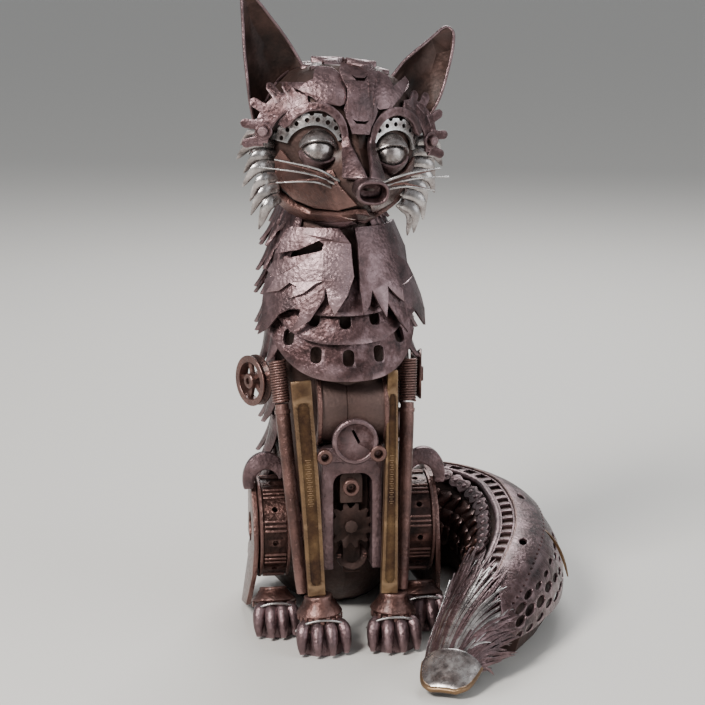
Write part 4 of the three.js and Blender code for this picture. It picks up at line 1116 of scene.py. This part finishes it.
def makeChain():
    spot, length = tailLine(chain["around"], *chain["ends"])
    pitch, lobe, pin = chain["pitch"], chain["lobe"], chain["pin"]

    def link(middle, lift):
        def place(u, v):
            run = -(pitch / 2 + lobe) * cos(pi * u)
            past = abs(run) - pitch / 2
            half = chain["half"] * sqrt(max(1 - (past / lobe) ** 2, 0.004))
            if past < 0:
                half = mix(chain["half"], chain["waist"], 0.5 - 0.5 * cos(pi * min(-2 * past / pitch, 1)))
            return spot(middle + run, (v - 0.5) * 1.84 * half, lift)

        return bentPlate(28, 4, place)

    layers, pins = ([], []), []
    for i in range(int((length - 2 * lobe) / pitch)):
        along = lobe + 1 + i * pitch
        layers[i % 2].append(link(along + pitch / 2, chain["lifts"][1 - i % 2]))
        pins.append([(spot(along, 0, 0), pin), (spot(along, 0, 7.8), pin), (spot(along, 0, 8.6), pin - 0.8)])
    plates = [thicken(joinAll(layer), chain["thick"], 0.5) for layer in layers]
    heroPiece(joinAll([*plates, rods(pins, 3)]), "tailChain", "oxide", "tail_chain", smooth=35)


# Slotted strip: a round rail, two rails of strip and the rungs between them, over a dark bed
ladder = {
    "middle": smoothRows([(0.08, -1), (0.31, -2.5), (0.42, -6.5), (0.6, -7.5), (0.71, -5.5), (0.8, -2)]),
    "ends": (0.1, 0.8), "half": 9.2, "rail": 3.6, "pitch": 21, "rung": 7, "lift": 3.6, "thick": 3.4,
    "inner": -5.4,
}


def makeSlottedStrip():
    strip, length = tailLine(ladder["middle"], *ladder["ends"])
    half, lift = ladder["half"], ladder["lift"]

    def spot(distance, aside, lift):
        return strip(clamp(distance, 0, length), aside, lift)

    rail = [(spot(length * t, 2.6 - half, 3.4), ladder["rail"]) for t in evenSteps(120)]
    heroPiece(rods([rail], 4), "tailRail", "oxide", "tail_slotted_strip", smooth=60)
    parts = []
    for low, high in ((ladder["inner"], ladder["inner"] + 2.8), (half - 2.2, half)):
        parts.append(bentPlate(120, 2, lambda u, v: spot(length * u, mix(low, high, v), lift)))
    for i in range(int(length / ladder["pitch"]) + 1):
        def rung(u, v):
            return spot(i * ladder["pitch"] + u * ladder["rung"], mix(-3, half - 2, v), lift - 0.3)

        parts.append(bentPlate(3, 6, rung))
    strips = thicken(joinAll(parts), ladder["thick"], 0.7)
    heroPiece(strips, "tailSlottedStrip", "oxide", "tail_slotted_strip")
    bed = bentPlate(90, 4, lambda u, v: spot(length * u, mix(-half, half, v), 0.9))
    finishPiece(thicken(bed, 1, 0), "tailStripBed", "dark")


# Wide plate with a toothed outer edge and a round rim along its inner one
wide = {
    "outer": smoothRows([(0.1, 33), (0.4, 33), (0.54, 29), (0.65, 29), (0.73, 33), (0.79, 37), (0.86, 40)]),
    "ends": (0.12, 0.85), "thick": 2.6, "lift": 6.4, "notch": 3.3, "pitch": 11, "holes": (0.27, 0.45, 0.66),
    "hole": 4.2, "holeStretch": 2.1, "rimEnd": 0.8,
}


def wideEdges(share):
    inner = ladder["middle"](share)[0] + ladder["half"] + 0.6
    outer = wide["outer"](share)[0]
    return mix(inner, outer - 4, clamp((share - 0.77) / 0.08, 0, 1) ** 1.6), outer


def ovalPeg(along, around, radius, stretch):  # an oval cutter, long way down the tail
    low, high = tailPoint(along, around, -3), tailPoint(along, around, 13)
    ahead = (tailPoint(along + 2, around, 0) - tailPoint(along - 2, around, 0)).normalized()
    up = (high - low).normalized()
    size = {"radius": radius * mm, "depth": (high - low).length}
    cutter = started(bpy.ops.mesh.primitive_cylinder_add, vertices=20, **size)
    turn = Matrix((ahead * stretch, up.cross(ahead).normalized(), up)).transposed().to_4x4()
    cutter.data.transform(Matrix.Translation((low + high) / 2) @ turn)
    return cutter


def makeWidePlate():
    start, end = wide["ends"]

    def place(u, v):
        share = mix(start, end, u)
        return tailPoint(share * tailLength, mix(*wideEdges(share), v), wide["lift"])

    piece = thicken(bentPlate(150, 6, place), wide["thick"], 0)
    cutters = []
    for share in wide["holes"]:
        around = wideEdges(share)[0] + 10
        cutters.append(ovalPeg(tailLength * share, around, wide["hole"], wide["holeStretch"]))
    spot, length = tailLine(wide["outer"], start + 0.01, end - 0.01)
    for i in range(int(length / wide["pitch"])):
        along = i * wide["pitch"]
        cutters.append(peg(spot(along, 0, -5), spot(along, 0, 12), wide["notch"], 10))
    breakEdges(drill(piece, cutters), 0.4)
    heroPiece(piece, "tailWidePlate", "oxide", "tail_wide_plate", smooth=30)
    rim = []
    for t in evenSteps(100):
        share = mix(start, wide["rimEnd"], t)
        rim.append((tailPoint(share * tailLength, wideEdges(share)[0] + 0.4, 5.8), 2))
    finishPiece(rods([rim], 3), "tailWideRim", "rust", smooth=60)


# Leaf-shaped plate with rows of ovals: place round the tail, radius and stretch of each row
leaf = {
    "ends": (0.34, 0.89), "low": 27, "high": 80, "thick": 2.6, "ovals": 11,
    "rows": [(45, 3.2, 3.4), (56, 4.1, 2.6), (68, 3.4, 3.2)],
}


def makeLeafPlate():
    start, end = leaf["ends"]

    def place(u, v):
        share = mix(start, end, u)
        bulge = sin(pi * mix(0.1, 0.94, u)) ** 0.5
        low = max(leaf["low"], wide["outer"](share)[0] - 6)
        around = mix(low, low + (leaf["high"] - leaf["low"]) * bulge, v)
        return tailPoint(share * tailLength, around, 2.6 + 2.5 * v)

    piece = thicken(bentPlate(100, 10, place), leaf["thick"], 0)
    cutters = []
    for k, (around, radius, stretch) in enumerate(leaf["rows"]):
        for i in range(leaf["ovals"]):
            share = mix(start + 0.07, end - 0.05, (i + 0.36 * k + 0.12 * sin(5 * i)) / leaf["ovals"])
            size = radius * (1 + 0.22 * sin(7 * i + 2 * k))
            cutters.append(ovalPeg(share * tailLength, around + 1.8 * sin(4 * i + k), size, stretch))
    breakEdges(drill(piece, cutters), 0.4)
    heroPiece(piece, "tailLeafPlate", "oxide", "tail_leaf_plate", smooth=30)


# A loose brassy flake that stands up between the two plates
flake = {
    "ends": (0.57, 0.645), "wide": 0.022, "from": 30, "to": 58, "lean": 9, "lifts": (8, 17), "thick": 2.4,
}


def makeFlake():
    def place(u, v):
        aside = (u - 0.5) * sin(pi * mix(0.06, 0.96, v))
        share = mix(*flake["ends"], v) + flake["wide"] * aside
        around = mix(flake["from"], flake["to"], v) + flake["lean"] * aside
        return tailPoint(share * tailLength, around, mix(*flake["lifts"], v))

    finishPiece(thicken(bentPlate(6, 14, place), flake["thick"], 0.5), "tailFlake", "brassy")


makeChain()
makeSlottedStrip()
makeWidePlate()
makeLeafPlate()
makeFlake()
print("tail plates ready")


# Fur: bent tongues of steel
def tongue(surface, root, length, width, lifts, sweep=0, rows=8):
    across, along = root

    def place(u, v):
        half = width / 2 * max(1 - v**2.4, 0.06) ** 0.75 * min(0.75 + v * 1.2, 1)
        aside = (u - 0.5) * 2
        lift = mix(*lifts, v * v) - 0.12 * width * aside * aside
        return surface(across + aside * half + sweep * v * v, along, v * length, lift)

    return bentPlate(4, rows, place)


def bodySurface(across, height, run, lift):
    return bodyPoint(across, height - run, lift)


def skullSurface(angle, height, run, lift):
    return skullPoint(angle, height - run, lift)


def crownSurface(angle, start, run, lift):
    reach, turn = start + run, radians(angle)
    return headPoint(reach * sin(turn), -reach * cos(turn), crown["top"] + lift - crown["fall"] * reach**2)


def tailSurface(around, along, run, lift):
    return tailPoint(min(along + run, tailLength), around * mix(1, 0.8, run / 160), lift)


random.seed(7)
furTiers = [
    # top height, length, width, first and last place across, count, lifts
    (474, 34, 20, 74, 222, 10, (2, 9)),
    (456, 40, 20, 58, 214, 10, (3, 15)),
    (432, 44, 20, 66, 222, 10, (4, 17)),
    (404, 46, 22, 80, 216, 8, (4, 17)),
    (374, 48, 24, 84, 222, 7, (4, 17)),
    (342, 50, 24, 88, 218, 7, (4, 17)),
    (306, 54, 26, 104, 222, 6, (4, 16)),
    (266, 56, 28, 112, 218, 5, (4, 16)),
    (226, 60, 30, 118, 222, 5, (4, 16)),
    (184, 62, 30, 130, 222, 4, (3, 14)),
    (140, 60, 30, 166, 224, 3, (3, 12)),
    (96, 56, 28, 176, 226, 3, (3, 10)),
]


def makeMane(name, side):
    parts = []
    for height, length, width, start, end, count, lifts in furTiers:
        for i in range(count):
            across = mix(start, end, (i + random.uniform(-0.25, 0.25)) / max(count - 1, 1))
            size = random.uniform(0.85, 1.15)
            root = (side * across, height + random.uniform(-5, 5))
            rise = (lifts[0], lifts[1] * random.uniform(0.8, 1.1))
            sweep = side * random.uniform(-4, 9)
            parts.append(tongue(bodySurface, root, length * size, width * size, rise, sweep))
    heroPiece(thicken(joinAll(parts), 2.4, 0.4), name + "ManeFur", "oxide", "mane_plates_" + name)


headFur = {
    # first and last angle from the nose, first and last height, rows, tongues in a row
    "worn": ((84, 120), (14, -44), 7, 3),
    "oxide": ((96, 180), (74, -40), 9, 5),
}


def makeHeadFur():
    for slot, (angles, heights, rows, count) in headFur.items():
        parts = []
        for side in (1, -1):
            for t in evenSteps(rows - 1):
                height = mix(*heights, t)
                for k in range(count):
                    angle = side * mix(*angles, (k + random.uniform(0, 0.7)) / count)
                    length, width = random.uniform(22, 34), random.uniform(9, 13)
                    lifts = (1.5, random.uniform(7, 16) if height < 56 else 4)
                    root = (angle, height + random.uniform(-4, 4))
                    sweep = side * random.uniform(4, 14)
                    parts.append(tongue(skullSurface, root, length, width, lifts, sweep, 6))
        finishPiece(thicken(joinAll(parts), 1.8, 0.3), slot + "HeadFur", slot)


crown = {
    "top": 83, "fall": 0.004,
    # start, length, width in degrees, count, lift
    "rings": [(20, 28, 30, 14, 1.5), (4, 30, 52, 8, 4)],
}


def makeCrown():
    parts = []
    for start, length, width, count, lift in crown["rings"]:
        for i in range(count):
            angle = mix(60, 300, (i + random.uniform(-0.15, 0.15)) / (count - 1))
            lifts = (lift, lift + random.uniform(0, 4))
            parts.append(tongue(crownSurface, (angle, start), length, width, lifts, 0, 6))
    finishPiece(thicken(joinAll(parts), 1.8, 0.3), "crownPlates", "oxide")


forSides(makeMane)
makeHeadFur()
makeCrown()
print("fur ready")

# The brush of the tail is made of loose strands, bright where they face the front
brush = {
    "strands": 150, "wide": 2.1, "thick": 1.5, "sweep": -16, "spread": 0.03,
    "tips": smoothRows([(-100, 0.67), (-30, 0.7), (0, 0.755), (22, 0.8), (45, 0.85), (100, 0.88)]),
}


def brushStrand(around, tip, root, lift, sway):  # its point lies up the tail and its root near the end of it
    def place(u, v):
        half = brush["wide"] * min(v * 3.2 + 0.12, 1) * mix(1, 0.7, v)
        turn = mix(around, around * 0.8 + brush["sweep"], v) + sway * sin(pi * v)
        rise = mix(lift, 2, min(v * 1.3, 1)) + 1.2 * sin(pi * v)
        return tailPoint(mix(tip, root, v) * tailLength, turn + (u - 0.5) * 2 * half, rise)

    return bentPlate(2, 14, place)


def makeTailFur():
    parts = {"worn": [], "oxide": []}
    for i in range(brush["strands"]):
        around = mix(-80, 84, (i + random.random()) / brush["strands"])
        tip = brush["tips"](around)[0] + random.uniform(-1, 2) * brush["spread"]
        root = random.uniform(0.94, 0.99)
        slot = "worn" if random.uniform(-45, 70) > abs(around + 5) else "oxide"
        parts[slot].append(brushStrand(around, tip, root, random.uniform(2, 13), random.uniform(-7, 7)))
    for slot, name in (("worn", "tailBrushBright"), ("oxide", "tailBrushBrown")):
        heroPiece(thicken(joinAll(parts[slot]), brush["thick"], 0.3), name, slot, "tail_fur")


# The end of the tail is a shoe of bright steel in a heavy brassy rim
shoe = {"start": 0.95, "beyond": 7, "half": 58, "rim": 3}


def shoePoint(u, v, lift):
    swell = sqrt(max(1 - v**3.4, 0.02))
    along = mix(shoe["start"] * tailLength, tailLength + shoe["beyond"], v)
    spot = tailPoint(along, mix(-shoe["half"], shoe["half"], u) * mix(0.3, 1, swell), lift)
    spot.z *= mix(0.42, 1, swell)
    return spot


def makeTailTip():
    finishPiece(thicken(bentPlate(24, 18, lambda u, v: shoePoint(u, v, 4.4)), 2.2, 0.6), "tailTip", "worn")
    edge = [shoePoint(0, i / 20, 3) for i in range(20)]
    edge += [shoePoint(t, 1, 3) for t in evenSteps(12)]
    edge += [shoePoint(1, 1 - i / 20, 3) for i in range(1, 21)]
    finishPiece(rods([[(spot, shoe["rim"]) for spot in edge]], 3), "tailTipRim", "brassy", smooth=60)


# Scales on the outside and the inner side of the tail
tailScales = [
    # first and last share of the length, places round the tail, finish
    (0.02, 0.32, (48, 63, 78, 93), "oxide"),
    (0.03, 0.62, (-42, -56, -70), "rust"),
]
scalePitch = 27


def makeTailScales():
    for start, end, rows, slot in tailScales:
        parts = []
        for k, around in enumerate(rows):
            count = int((end - start) * tailLength / scalePitch)
            for i in range(count):
                along = mix(start, end, (i + 0.5 * (k % 2) + random.uniform(-0.1, 0.1)) / count) * tailLength
                length, lifts = random.uniform(36, 46), (2.4, random.uniform(5, 9))
                parts.append(tongue(tailSurface, (around, along), length, 20, lifts, 4))
        finishPiece(thicken(joinAll(parts), 1.8, 0.3), slot + "TailScales", slot)


makeTailTip()
makeTailFur()
makeTailScales()
print("tail brush ready")

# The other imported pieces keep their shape, with a worn edge: its width, and the least corner that gets one
wornEdge = {"width": 0.55, "corner": 32, "wider": {"belly_gear": 0.8}}


def coatNode(node):
    deselectAll()
    source = frame["nodes"][node]
    piece = source.copy()
    piece.data = source.data.copy()
    for key in list(piece.keys()):
        del piece[key]
    bpy.context.collection.objects.link(piece)
    piece.parent = None
    editing(piece)
    bpy.ops.mesh.remove_doubles(threshold=0.00002)
    bpy.ops.mesh.dissolve_limited(angle_limit=radians(1.5))
    bpy.ops.object.mode_set(mode="OBJECT")
    breakEdges(piece, wornEdge["wider"].get(node, wornEdge["width"]), wornEdge["corner"])
    finishPiece(piece, node + "Coat", slotOf[node], [node])


for node in sorted(frame["nodes"]):
    if node not in replaced:
        coatNode(node)
print("plates coated")
